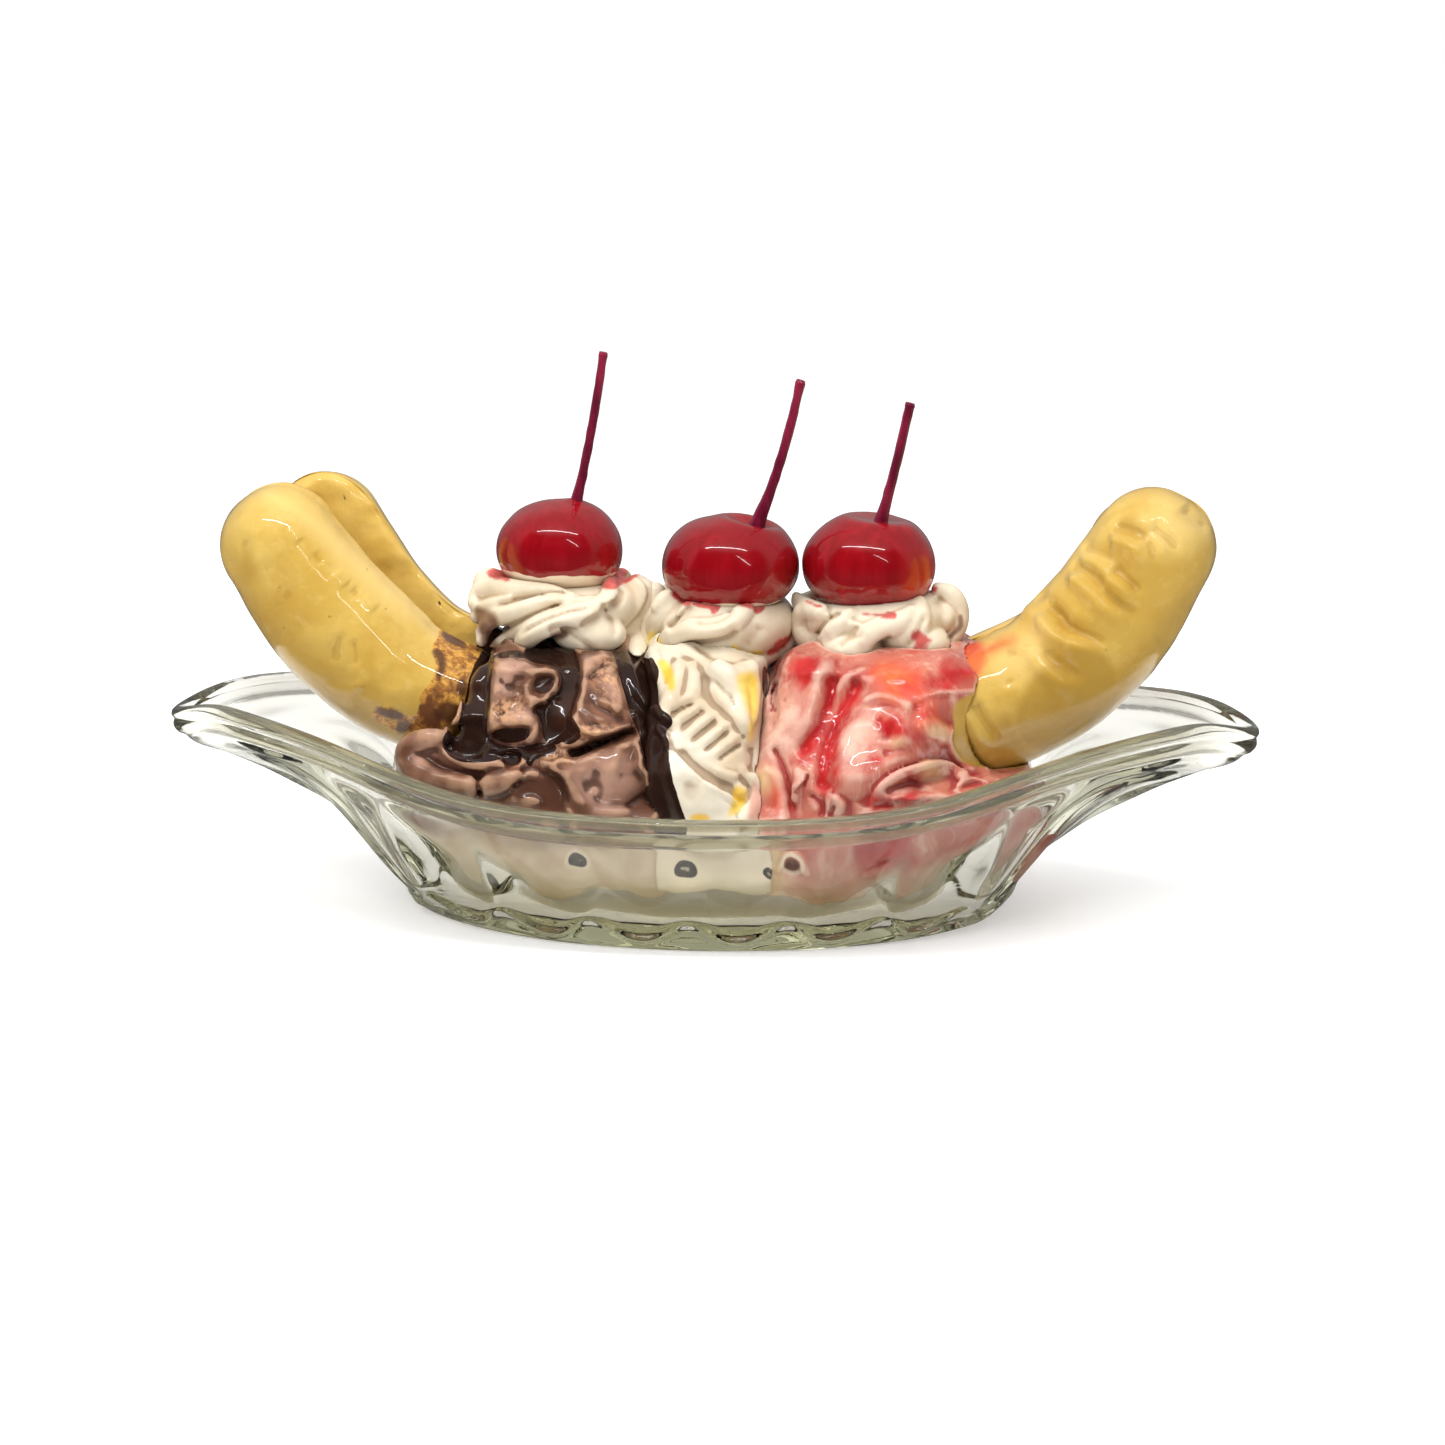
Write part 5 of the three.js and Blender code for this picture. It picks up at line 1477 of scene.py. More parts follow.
def mound(x0, west, east, south, top, meet=(0, 0), foot=6.4):
    def f(X, Y, Z):
        low = smooth(31, 23, Z)
        h = (Z - foot) / (top - foot)
        L = np.interp(h.ravel(), PROFILE[:, 0], PROFILE[:, 1]).reshape(h.shape)
        D = np.interp(h.ravel(), PROFILE[:, 0], PROFILE[:, 2]).reshape(h.shape)
        a = np.where(X < x0, west * (1 + meet[0] * low), east * (1 + meet[1] * low)) * L
        x, y = np.abs(X - x0) / a, np.abs(Y) / (south * D)
        k = (x ** 3.4 + y ** 3.4 + 1e-9) ** (1 / 3.4)
        return (k - 1) * np.minimum(a, south * D)
    return f


def room(X, Y, Z):
    """Inside of the glass bowl, with a little air."""
    z = np.array([5.6, 6.35, 8.6, 12.3, 16.3, 20.5, 24.5, 27.8, 30.5, 40])
    b = np.interp(Z.ravel(), z, [35, 37.1, 39.3, 41.6, 43.9, 46, 47.9, 49.4, 50.3, 54]).reshape(Z.shape) - 0.7
    a = np.interp(Z.ravel(), [5.6, 11.6, 17.6, 23.6, 29.6, 35.6], [52, 64.5, 69.5, 74.5, 79, 83]).reshape(Z.shape) - 2.1
    k = np.sqrt((X / a) ** 2 + (Y / b) ** 2)
    return (k - 1) * b


def mass(x0, west, east, south, top, lo, hi, outline, under, meet):
    g = Clay(lo, hi, STEP)
    g.f[:] = 1e3
    X, Y, Z = g.axes((slice(None),) * 3)
    X, Y, Z = X + 0 * Y + 0 * Z, Y + 0 * X + 0 * Z, Z + 0 * X + 0 * Y
    g.f = mound(x0, west, east, south, top, meet)(X, Y, Z).astype(np.float32)
    g.f = smax(g.f, (Z - top).astype(np.float32), 4)
    g.even()
    g.outline(outline, 2.5)
    # the underside hangs free of the glass floor, with a wavy edge
    q = np.stack([X.ravel(), Y.ravel(), 0 * Z.ravel()], 1)
    wave = (noise(q, 9, 41) * 1.3 + noise(q, 4, 42) * 0.5).reshape(X.shape)
    g.f = smax(g.f, (under + wave - Z).astype(np.float32), 1.6)
    g.f = smax(g.f, room(X, Y, Z).astype(np.float32), 1.0)
    return g, (X, Y, Z)


def carve(g, fields):
    X, Y, Z = g.axes((slice(None),) * 3)
    for f in fields:
        g.f = smax(g.f, -f(X, Y, Z).astype(np.float32), 0.4)
    for c in CREAM_MESHES:
        lo = np.array([a[0] for a in c.ax])
        hi = np.array([a[-1] for a in c.ax])
        s = g.window(lo, hi)
        if s is None:
            continue
        A, B, C = g.axes(s)
        A, B, C = A + 0 * B + 0 * C, B + 0 * A + 0 * C, C + 0 * A + 0 * B
        p = np.stack([A, B, C], -1)
        inside = ((p >= lo) & (p <= hi)).all(-1)
        v = np.where(inside, c.value(p), 30)
        g.f[s] = smax(g.f[s], (-v + 0.12).astype(np.float32), 0.3)
    g.list = None


def fit_between(g, others, gap=0.12):
    X, Y, Z = g.axes((slice(None),) * 3)
    p = np.stack([X + 0 * Y + 0 * Z, Y + 0 * X + 0 * Z, Z + 0 * X + 0 * Y], -1)
    for c in others:
        lo = np.array([a[0] for a in c.ax]) + 0.01
        hi = np.array([a[-1] for a in c.ax]) - 0.01
        inside = ((p >= lo) & (p <= hi)).all(-1)
        v = np.where(inside, c.value(np.clip(p, lo, hi)), 30)
        g.f = smax(g.f, (gap - v).astype(np.float32), 0.3)
    g.list = None


def lumps(g, size, amount, seed, where=None):
    idx, u, v, x, y, z = g.skin()
    p = np.stack([x, y, z], 1).astype(float)
    n = noise(p, size, seed) * amount
    if where is not None:
        n = n * where(u, v, x, y, z)
    g.f.reshape(-1)[idx] += n.astype(np.float32)


# ---- chocolate
LEFT = [(497, 648), (500, 620), (655, 620), (657, 708), (670, 721), (662, 739), (666, 756), (670, 784), (683, 819), (684, 842), (690, 850), (690, 935), (470, 935), (385, 830), (392, 762), (404, 738), (437, 735), (455, 722), (463, 700), (470, 670)]
g, _ = mass(-37, 30.8, 35.0, 42.4, 61, (-70.5, -47.5, 5.0), (-1.5, 0, 63.5), LEFT, 10.4, (0, 0.7))
lumps(g, 15, 0.9, 51)
lumps(g, 6, 0.35, 52)

A_BLOCK = CH([(452, 422), (540, 418), (640, 446), (700, 452), (734, 492), (736, 545), (690, 592), (612, 632), (650, 690), (652, 740), (612, 778), (560, 792), (470, 784), (420, 752), (414, 700), (436, 600), (430, 520)])
B_BLOCK = CH([(815, 432), (900, 388), (952, 398), (985, 500), (1012, 604), (1050, 702), (1010, 730), (900, 764), (820, 756), (776, 720), (772, 676), (806, 600), (822, 520)])
C_BLOCK = CH([(636, 874), (720, 850), (800, 852), (900, 806), (1064, 744), (1072, 800), (1104, 900), (1138, 970), (1168, 1016), (1180, 1090), (1120, 1180), (900, 1240), (780, 1180), (764, 1040), (740, 950), (700, 900)])
D_BLOCK = CH([(560, 916), (640, 920), (702, 908), (746, 968), (780, 1100), (700, 1120), (600, 1080), (500, 1040), (524, 985)])
# sauce lies low and level between the blocks
g.swell(CH([(330, 400), (440, 400), (420, 560), (420, 720), (520, 800), (600, 830), (700, 800), (760, 740), (780, 650), (820, 540), (810, 400), (740, 340), (640, 330), (560, 400), (700, 450), (740, 540), (640, 640), (660, 740), (560, 800), (430, 770), (380, 860), (270, 870), (215, 810), (240, 730), (310, 690)]), -1.3, 8)
g.swell(A_BLOCK, 2.7, 7, (3.0, -1.5), 2.2, 5)
g.swell(B_BLOCK, 2.9, 8, (-4.0, 1.5), 2.2, 6)
g.swell(C_BLOCK, 3.0, 9, (-1.0, 1.0), 2.2, 7)
g.swell(D_BLOCK, 0.9, 7, (0, 2.0), 2.0, 8)
lumps(g, 8, 0.45, 54)
# the glossy pool
g.swell(CH([(226, 800), (250, 730), (330, 690), (420, 700), (440, 770), (540, 800), (590, 830), (470, 850), (400, 862), (280, 862)]), -1.4, 12)
# block A: broken facets, two pockets with thin rims
g.swell(CH([(452, 425), (520, 440), (540, 510), (500, 560), (440, 580), (432, 510)]), 0.9, 9, (-3, -3), 2.0, 9)
g.swell(CH([(520, 470), (560, 440), (640, 455), (690, 470), (620, 500), (600, 560), (650, 590), (600, 640), (540, 620), (560, 560)]), 0.6, 9, (3, 0), 2.0, 10)
g.crease(CH([(456, 500), (500, 540), (560, 566), (540, 600), (560, 640)]), 2.2, 0.8, 0.15, "sharp")
g.crease(CH([(500, 560), (530, 520), (580, 500)]), 2.0, 0.6, 0.2, "sharp")
g.swell(CH([(500, 650), (580, 640), (616, 680), (600, 716), (520, 716), (470, 700)]), 0.7, 7, (2, 3), 2.0, 11)
g.swell(CH([(600, 540), (640, 496), (700, 484), (730, 520), (720, 570), (660, 600), (606, 580)]), -1.5, 12, (-3, 2), 1.8, 18)
g.swell(CH([(424, 726), (500, 712), (590, 712), (604, 740), (584, 782), (500, 800), (430, 770)]), -1.9, 6, (0, 0), 1.5, 19)
g.crease(CH([(600, 650), (640, 700), (650, 740)]), 2.4, 0.6, 0.2, "sharp")
g.crease(CH([(440, 640), (480, 660), (520, 650)]), 3.0, 0.5, 0.2)
# block B: a wedge at its top, slanted plates
g.crease(CH([(846, 516), (884, 478), (948, 424)]), 2.2, 1.5, 0.1, "sharp")
g.swell(CH([(850, 520), (950, 430), (990, 540), (1012, 620), (960, 660), (880, 600)]), 0.8, 12, (4, 0), 2.0, 12)
g.crease(CH([(830, 560), (880, 620), (960, 670), (1030, 690)]), 6, 0.7, 0.2)
g.crease(CH([(800, 640), (850, 680), (900, 740)]), 5, 0.5, 0.2)
g.swell(CH([(780, 700), (860, 720), (960, 720), (1050, 700), (1010, 740), (860, 784), (770, 790)]), 0.8, 6, (0, 0), 1.6, 13)
# the crack between B and C and the thin slab above it
g.crease(CH([(760, 836), (850, 806), (950, 766), (1050, 718)]), 3.4, 3.2, 0.08, "sharp")
g.swell(CH([(720, 772), (800, 752), (850, 764), (838, 792), (780, 816), (724, 806)]), 1.2, 6, (0, 0), 1.0, 14)
g.swell(CH([(636, 812), (720, 806), (800, 838), (790, 862), (690, 862), (630, 850)]), 0.9, 5, (0, 0), 2.4, 15)
# slab C: rolling surface, a hollow and a fold
g.crease(CH([(900, 880), (850, 950), (800, 1020)]), 9, 0.9, 0.2)
g.crease(CH([(820, 980), (880, 960), (900, 1000), (860, 1040)]), 7, 0.9, 0.2)
g.crease(CH([(1010, 1066), (1050, 1030), (1110, 1002)]), 2.6, 1.2, 0.12, "sharp")
g.crease(CH([(1066, 760), (1082, 830), (1108, 910), (1142, 980)]), 4, 1.2, 0.1, "fold")
g.lay(CH([(1000, 800, 1.0), (960, 860, 1.6), (940, 920, 1.4)]), 2.2, lift=-0.6)
g.lay(CH([(760, 930, 1.0), (800, 990, 1.4), (820, 1040, 1.2)]), 2.0, lift=-0.5)
g.lay(CH([(880, 1080, 1.2), (960, 1086, 1.6), (1010, 1080, 1.2)]), 2.0, lift=-0.4)
# the dark plate and its chip
g.swell(CH([(550, 1016), (590, 1000), (636, 1018), (636, 1044), (570, 1044)]), 0.7, 7, (4, 0), 1.5, 25)
g.crease(CH([(690, 910), (750, 980), (776, 1080)]), 2.4, 1.2, 0.1, "sharp")
# the plate of sauce hanging on the right
g.swell(CH([(1022, 626), (1060, 650), (1110, 720), (1180, 830), (1185, 880), (1130, 860), (1090, 800), (1068, 740)]), 1.6, 6, (-4, 0), 1.8, 16)
g.swell(CH([(1060, 770), (1100, 800), (1170, 930), (1150, 990), (1100, 960), (1070, 880)]), 0.9, 9, (0, 0), 1.8, 17)
g.swell(CH([(1000, 420), (1060, 440), (1110, 520), (1130, 610), (1090, 640), (1040, 560), (1000, 480)]), 1.3, 16)
# roll at the lower left, the lump beside it and the small curl
g.lay(CH([(262, 776, 1.2), (210, 768, 2.0), (140, 782, 2.6), (92, 826, 3.0), (108, 888, 3.2), (180, 930, 3.2), (270, 950, 3.1), (350, 965, 2.7)]), 0.8, lift=0.9)
g.lay(CH([(216, 800, 0.7), (240, 846, 0.9), (310, 876, 1.2), (400, 886, 1.4), (480, 882, 1.1)]), 0.8, lift=0.6)
g.lay(CH([(400, 966, 2.2), (450, 962, 2.6), (510, 944, 2.2), (550, 932, 1.4)]), 0.5, lift=0.8)
g.crease(CH([(372, 925), (372, 960), (392, 1010)]), 2.0, 1.3, 0.1, "sharp")
g.crease(CH([(160, 830), (230, 890), (330, 920), (420, 920)]), 4.5, 0.8, 0.2)
g.lay(CH([(480, 830, 0.6), (530, 812, 0.8), (574, 822, 0.8), (584, 856, 0.8), (556, 886, 0.7), (512, 894, 0.6)]), 0.4, lift=0.4)
g.swell(CH([(480, 836), (530, 822), (568, 834), (560, 870), (520, 886), (478, 870)]), -1.0, 7)
g.crease(CH([(520, 985), (560, 950), (580, 925), (620, 918)]), 2.0, 1.0, 0.15, "sharp")
g.lay(CH([(560, 930, 0.6), (600, 914, 0.9), (630, 922, 0.6)]), 0.4, lift=0.3)
# a dimple low on the front
g.crease([(503, 846), (507, 847)], 5.0, 1.0, 0)
# drips over the vanilla
for a, b, r in (((662, 698), (677, 711), 0.8), ((662, 722), (676, 727), 0.9), ((664, 745), (682, 738), 0.8), ((668, 762), (684, 771), 1.0), ((676, 786), (690, 799), 0.9), ((680, 806), (693, 822), 0.8), ((650, 676), (662, 682), 0.8)):
    g.lay([(a[0] - 6, a[1] - 2, r * 0.8), (a[0], a[1], r * 1.1), ((a[0] + b[0]) / 2, (a[1] + b[1]) / 2, r), (b[0], b[1], r * 0.7)], 0.6, lift=0.0)
lumps(g, 2.6, 0.12, 53)
SYRUP = [CH([(330, 395), (452, 395), (430, 600), (414, 700), (420, 770), (585, 800), (720, 800), (700, 830), (600, 900), (460, 862), (280, 866), (216, 800), (300, 700)]), CH([(700, 400), (818, 520), (790, 730), (700, 800), (655, 770), (652, 700), (640, 612), (736, 540), (732, 490)]),
         CH([(985, 400), (1110, 470), (1150, 640), (1210, 860), (1230, 1090), (1136, 1016), (1062, 890), (1066, 740), (1018, 620)])]
lumps(g, 3.4, 0.42, 57, lambda u, v, x, y, z: np.max([smooth(6, -10, area_distance(u, v, rounded(a))) for a in SYRUP], 0))
carve(g, [banana_field(BANANAS["left_front"], 0.3), banana_field(BANANAS["left_back"], 0.3)])
choc = g

CHOC_MARKS = dict(
    sauce=[(CH([(330, 395), (452, 395), (446, 440), (432, 520), (430, 600), (414, 700), (420, 770), (500, 800), (585, 800), (640, 780), (690, 790), (720, 800), (700, 830), (620, 850), (600, 900), (570, 840), (500, 826), (460, 862), (380, 870), (280, 866), (216, 800), (238, 730), (300, 700), (310, 600)]), None, 2),
           (CH([(640, 330), (760, 330), (810, 420), (818, 520), (800, 600), (768, 690), (790, 730), (760, 770), (700, 800), (655, 770), (652, 700), (616, 640), (640, 612), (706, 580), (736, 540), (732, 490), (700, 452), (640, 446), (590, 430), (560, 400)]), None, 2),
           (CH([(450, 400), (560, 380), (590, 425), (540, 416), (452, 422)]), None, 2),
           (CH([(946, 380), (1050, 400), (1110, 470), (1150, 560), (1150, 640), (1200, 700), (1210, 860), (1200, 920), (1260, 1090), (1214, 1100), (1170, 1016), (1140, 970), (1106, 890), (1078, 800), (1066, 740), (1040, 690), (1018, 620), (985, 500), (960, 410)]), None, 2),
           (CH([(850, 806), (1046, 712), (1050, 722), (900, 800), (800, 850), (760, 840)]), None, 2),
           (CH([(614, 520), (640, 498), (690, 492), (708, 520), (690, 564), (650, 578), (618, 558)]), None, 3),
           (CH([(426, 730), (500, 716), (590, 716), (602, 740), (582, 776), (500, 788), (438, 762)]), None, 2.5),
           (CH([(480, 838), (528, 824), (566, 836), (556, 868), (520, 884), (480, 868)]), None, 2.5),
           (CH([(760, 640), (800, 700), (830, 752), (770, 800), (720, 770)]), None, 2.5)],
    # pale: partly painted highlight on lit facets, partly paler glaze over edges
    pale=[(CH([(452, 422), (540, 425), (600, 440), (540, 500), (500, 560), (440, 590), (436, 520)]), None, 10), (CH([(500, 650), (600, 640), (610, 690), (520, 700)]), None, 8),
          (CH([(818, 432), (900, 392), (940, 400), (880, 470), (840, 500)]), None, 6), (CH([(880, 1060), (1010, 1066), (1010, 1100), (880, 1100)]), None, 8),
          (CH([(950, 480), (1000, 590), (960, 600), (920, 520)]), None, 8), (CH([(790, 880), (1000, 850), (1050, 960), (900, 1040), (800, 980)]), None, 14),
          (CH([(110, 800), (200, 780), (180, 860), (110, 880)]), None, 6)],
    deep=[(CH([(560, 925), (640, 920), (705, 912), (746, 970), (778, 1095), (700, 1115), (600, 1078), (510, 1040), (524, 985)]), None, 12),
          (CH([(540, 470), (600, 450), (560, 560), (500, 590)]), None, 14), (CH([(150, 850), (240, 880), (360, 920), (440, 930), (430, 960), (300, 950), (160, 900)]), None, 12),
          (CH([(740, 930), (800, 960), (840, 1080), (790, 1100)]), None, 14)],
    gold=[(CH([(880, 440), (960, 430), (1000, 560), (940, 620), (900, 540)]), None, 10), (CH([(640, 806), (800, 836), (800, 860), (650, 856)]), None, 6), (CH([(440, 600), (560, 600), (560, 700), (440, 700)]), None, 14), (CH([(800, 700), (900, 720), (1000, 720), (900, 760), (800, 750)]), None, 6)],
    # painted shade of a vent hole
    hole=[([(577, 856), (582, 858)], 5.0, 5)],
)

# ---- vanilla
MIDDLE = [(640, 700), (640, 600), (768, 600), (774, 660), (770, 700), (764, 760), (770, 822), (780, 935), (664, 935), (656, 846), (640, 780), (638, 740)]
g, _ = mass(0, 16.4, 16.2, 42.6, 59.6, (-18.0, -48, 5.0), (18.0, 0, 68.5), MIDDLE, 13.6, (1.5, 1.5))
g.f = smin(g.f, ellipsoid((-6.5, -7, 52), (8.0, 13.5, 11))(*g.axes((slice(None),) * 3)).astype(np.float32), 3.0)
g.f = smin(g.f, ellipsoid((5, -7, 50), (8, 16, 10))(*g.axes((slice(None),) * 3)).astype(np.float32), 3.0)
g.list = None
lumps(g, 12, 0.8, 61)
lumps(g, 5, 0.3, 62)
g.swell(ST([(240, 380), (330, 380), (452, 380), (450, 560), (420, 690), (350, 650), (290, 570), (240, 500)]), 1.6, 22, (1, 0))
g.swell(ST([(90, 380), (220, 380), (240, 500), (190, 560), (110, 600), (90, 520)]), 0.9, 20, (0, 0), 1.5, 21)
g.crease(ST([(236, 420), (262, 520), (330, 592), (410, 690)]), 6.0, 1.2, 0.12)
g.lay([(676, 640, 1.0), (688, 652, 1.6), (704, 664, 1.9), (726, 674, 2.0), (750, 668, 1.9), (772, 656, 1.4)], 1.6, lift=-0.7)
g.lay([(652, 650, 0.9), (656, 668, 1.4), (664, 690, 1.2), (670, 706, 0.8)], 1.2, lift=-0.4)
g.crease([(672, 652), (676, 676), (686, 700)], 3.4, 0.8, 0.2)
g.crease([(742, 676), (734, 694), (738, 716)], 3.6, 0.7, 0.2)
g.lay(ST([(150, 400, 1.8), (140, 470, 2.2), (110, 540, 2.0), (96, 600, 1.2)]), 1.4, lift=-0.5)
g.lay(ST([(196, 400, 1.5), (206, 470, 1.7), (180, 520, 1.2)]), 1.4, lift=-0.4)
g.lay(ST([(300, 400, 2.0), (350, 470, 2.4), (380, 560, 2.0), (400, 640, 1.2)]), 1.6, lift=-0.6)
g.lay(ST([(424, 400, 1.4), (430, 500, 1.6), (424, 600, 1.2)]), 1.2, lift=-0.2)
# combed ridges
for a, b, w in (((104, 590), (216, 540), 2.2), ((150, 642), (250, 560), 2.2), ((186, 692), (300, 600), 2.6), ((236, 730), (344, 640), 2.2), ((290, 760), (390, 690), 2.0)):
    mid = ((a[0] + b[0]) / 2 + 4, (a[1] + b[1]) / 2 - 4)
    g.crease(ST([a, mid, b]), w * 1.25, 1.0, 0.2, "round")
for a, b in (((130, 620), (230, 550)), ((170, 668), (282, 580)), ((212, 712), (330, 622)), ((264, 746), (372, 668))):
    mid = ((a[0] + b[0]) / 2 + 4, (a[1] + b[1]) / 2 - 4)
    g.lay(ST([(a[0], a[1], 0.6), (mid[0], mid[1], 0.9), (b[0], b[1], 0.5)]), 1.2, lift=0.0)
# the smooth plate below them, its raised edge and the lump on its right
g.swell(ST([(70, 740), (124, 724), (200, 806), (300, 880), (376, 950), (380, 1100), (180, 1100), (110, 900)]), 1.5, 9, (0, 0), 1.0, 22)
g.lay(ST([(120, 730, 0.6), (180, 786, 0.7), (250, 850, 0.7), (330, 905, 0.7), (376, 950, 0.6)]), 0.6, lift=0.3)
g.crease(ST([(140, 710), (200, 770), (280, 826), (350, 866)]), 5.0, 1.1, 0.15)
g.lay(ST([(392, 800, 1.2), (424, 850, 2.2), (424, 920, 2.6), (400, 980, 2.4)]), 1.0, lift=-0.2)
g.lay(ST([(300, 800, 0.7), (340, 826, 0.9), (356, 820, 0.6)]), 0.6, lift=0.2)
g.lay(ST([(366, 860, 0.9), (380, 880, 1.4), (384, 900, 1.0)]), 0.6, lift=0.3)
g.crease(ST([(414, 700), (424, 770), (404, 820)]), 2.6, 1.0, 0.15, "sharp")
g.lay(ST([(60, 566, 0.8), (100, 598, 1.2), (112, 616, 0.9)]), 0.6, lift=0.3)
g.lay(ST([(70, 640, 0.8), (94, 674, 1.1), (100, 720, 0.9)]), 0.6, lift=0.3)
lumps(g, 7, 0.45, 64)
lumps(g, 2.4, 0.12, 63)
van = g

VAN_MARKS = dict(
    sauce=[(ST([(-20, 360), (44, 370), (66, 470), (70, 560), (122, 588), (124, 622), (92, 650), (116, 690), (108, 760), (128, 860), (176, 980), (186, 1040), (-20, 1040)]), None, 4), (ST([(40, 380), (60, 420), (50, 470)]), 3, 2), ([(762, 664), (768, 668), (768, 690), (763, 700)], None, 2)],
    yellow=[(ST([(60, 372), (110, 380), (140, 470), (120, 510), (90, 450)]), None, 5), (ST([(360, 430), (450, 410), (452, 520), (440, 640), (420, 620), (400, 540), (370, 480)]), None, 8),
            (ST([(350, 850), (400, 860), (410, 900), (380, 960), (320, 980), (350, 910)]), None, 6), (ST([(190, 960), (260, 956), (270, 990), (190, 990)]), None, 5), (ST([(410, 600), (440, 600), (430, 680), (410, 690)]), None, 6)],
    shade=[([(645, 640), (700, 650), (765, 650), (762, 720), (758, 790), (720, 780), (690, 730), (660, 700)], None, 16)],
    pink=[(ST([(430, 820), (460, 900), (440, 990), (400, 990), (420, 900)]), None, 5)],
    # painted shade of vent holes
    hole=[([(684, 866), (689, 867)], 6.5, 5), ([(768, 866), (772, 870)], 4, 3)],
)

# ---- strawberry
RIGHT_EDGE = [(757, 690), (762, 620), (800, 600), (960, 600), (1010, 640), (1004, 662), (998, 682), (992, 700), (988, 716), (986, 735), (987, 752), (990, 764), (998, 770), (1030, 768), (1056, 790), (1040, 850), (1000, 935), (760, 935), (757, 822), (751, 760)]
RIGHT_LOOSE = [(757, 690), (762, 620), (800, 600), (960, 600), (1010, 640), (1020, 700), (1040, 762), (1056, 790), (1040, 850), (1000, 935), (755, 935), (757, 822), (751, 760)]
g, (X, Y, Z) = mass(38, 31.0, 33.5, 41.8, 60.2, (5.0, -47.5, 5.0), (75.5, 0, 62.5), RIGHT_LOOSE, 12.2, (0.7, 0))
u, v = seen(X, Y, Z)
tight = area_distance(u.ravel(), v.ravel(), rounded(RIGHT_EDGE, 1)).reshape(X.shape) / 4.6
g.f = smax(g.f, np.minimum(tight, -19 - Y).astype(np.float32), 1.5)
g.f = smax(g.f, ((Z - 59.5 + 0.9 * (23.0 - X)) / 1.35 + 0 * Y).astype(np.float32), 3.0)
# its front turns away towards the banana
turn = (-22.8 - 0.92 * np.clip(57.5 - X, -20, 40) - Y) / 1.36 - 24 * smooth(36.0, 30.0, Z)
g.f = smax(g.f, turn.astype(np.float32), 3.0)
turn = -24.0 - 18 * np.sqrt(np.clip(1 - (np.clip(18 - X, 0, 16) / 17) ** 2, 0, 1)) - 24 * smooth(44.0, 36.0, Z)
g.f = smax(g.f, (turn - Y).astype(np.float32), 3.0)
lumps(g, 16, 1.1, 71)
lumps(g, 6, 0.35, 72)
# left column with its textured skin and folds
g.swell(ST([(520, 320), (700, 330), (716, 420), (690, 520), (630, 660), (580, 740), (520, 700), (470, 560), (500, 400)]), 1.5, 26, (3, -2))
g.swell(ST([(430, 780), (500, 770), (540, 850), (560, 960), (560, 1060), (440, 1060), (440, 900)]), 1.5, 12, (0, 0), 1.6, 31)
g.crease(ST([(500, 700), (540, 780), (566, 860), (580, 960)]), 3.0, 1.6, 0.12)
g.crease(ST([(516, 460), (500, 520), (502, 580)]), 2.4, 1.3, 0.1)
g.lay(ST([(600, 800, 0.9), (610, 850, 1.3), (590, 900, 1.0)]), 0.9, lift=0.2)
g.crease(ST([(640, 790), (620, 840), (576, 884)]), 3.2, 1.0, 0.15, "fold")
# two long furrows where the glaze ran
g.crease(ST([(740, 420), (716, 560), (670, 670), (606, 750)]), 10, 1.9, 0.12)
g.crease(ST([(842, 440), (770, 560), (726, 650), (700, 760), (690, 890)]), 8.5, 2.3, 0.1)
g.lay(ST([(780, 470, 1.0), (740, 560, 1.3), (690, 660, 1.3), (650, 740, 1.0)]), 1.8, lift=-0.2)
g.lay(ST([(846, 420, 0.5), (800, 436, 0.7), (764, 462, 0.8), (752, 500, 0.6)]), 0.7, lift=0.2)
# the broad lobe on the right
g.swell(ST([(870, 420), (1000, 400), (1080, 470), (1080, 600), (1160, 700), (1100, 760), (960, 800), (860, 880), (760, 900), (720, 820), (740, 680), (800, 560)]), 2.4, 40)
g.crease(ST([(1060, 520), (1040, 600), (1060, 680), (1120, 730)]), 8, 0.9, 0.2)
g.crease(ST([(900, 740), (980, 720), (1060, 720)]), 7, 0.9, 0.2)
g.crease(ST([(880, 600), (930, 640), (930, 700)]), 8, 0.7, 0.2)
g.lay(ST([(860, 530, 0.8), (900, 516, 1.1), (960, 530, 1.2), (1010, 552, 0.8)]), 1.5, lift=-0.1)
g.lay(ST([(1060, 524, 0.5), (1100, 508, 0.6), (1180, 502, 0.6), (1260, 496, 0.5)]), 0.7, lift=0.1)
# thin flap against the banana
g.swell(ST([(1080, 590), (1180, 640), (1168, 700), (1120, 690), (1060, 640)]), 0.9, 7, (3, 0), 1.0, 35)
g.lay(ST([(1176, 640, 0.5), (1164, 690, 0.7), (1190, 740, 0.8), (1230, 780, 0.7), (1300, 800, 0.5)]), 0.5, lift=0.2)
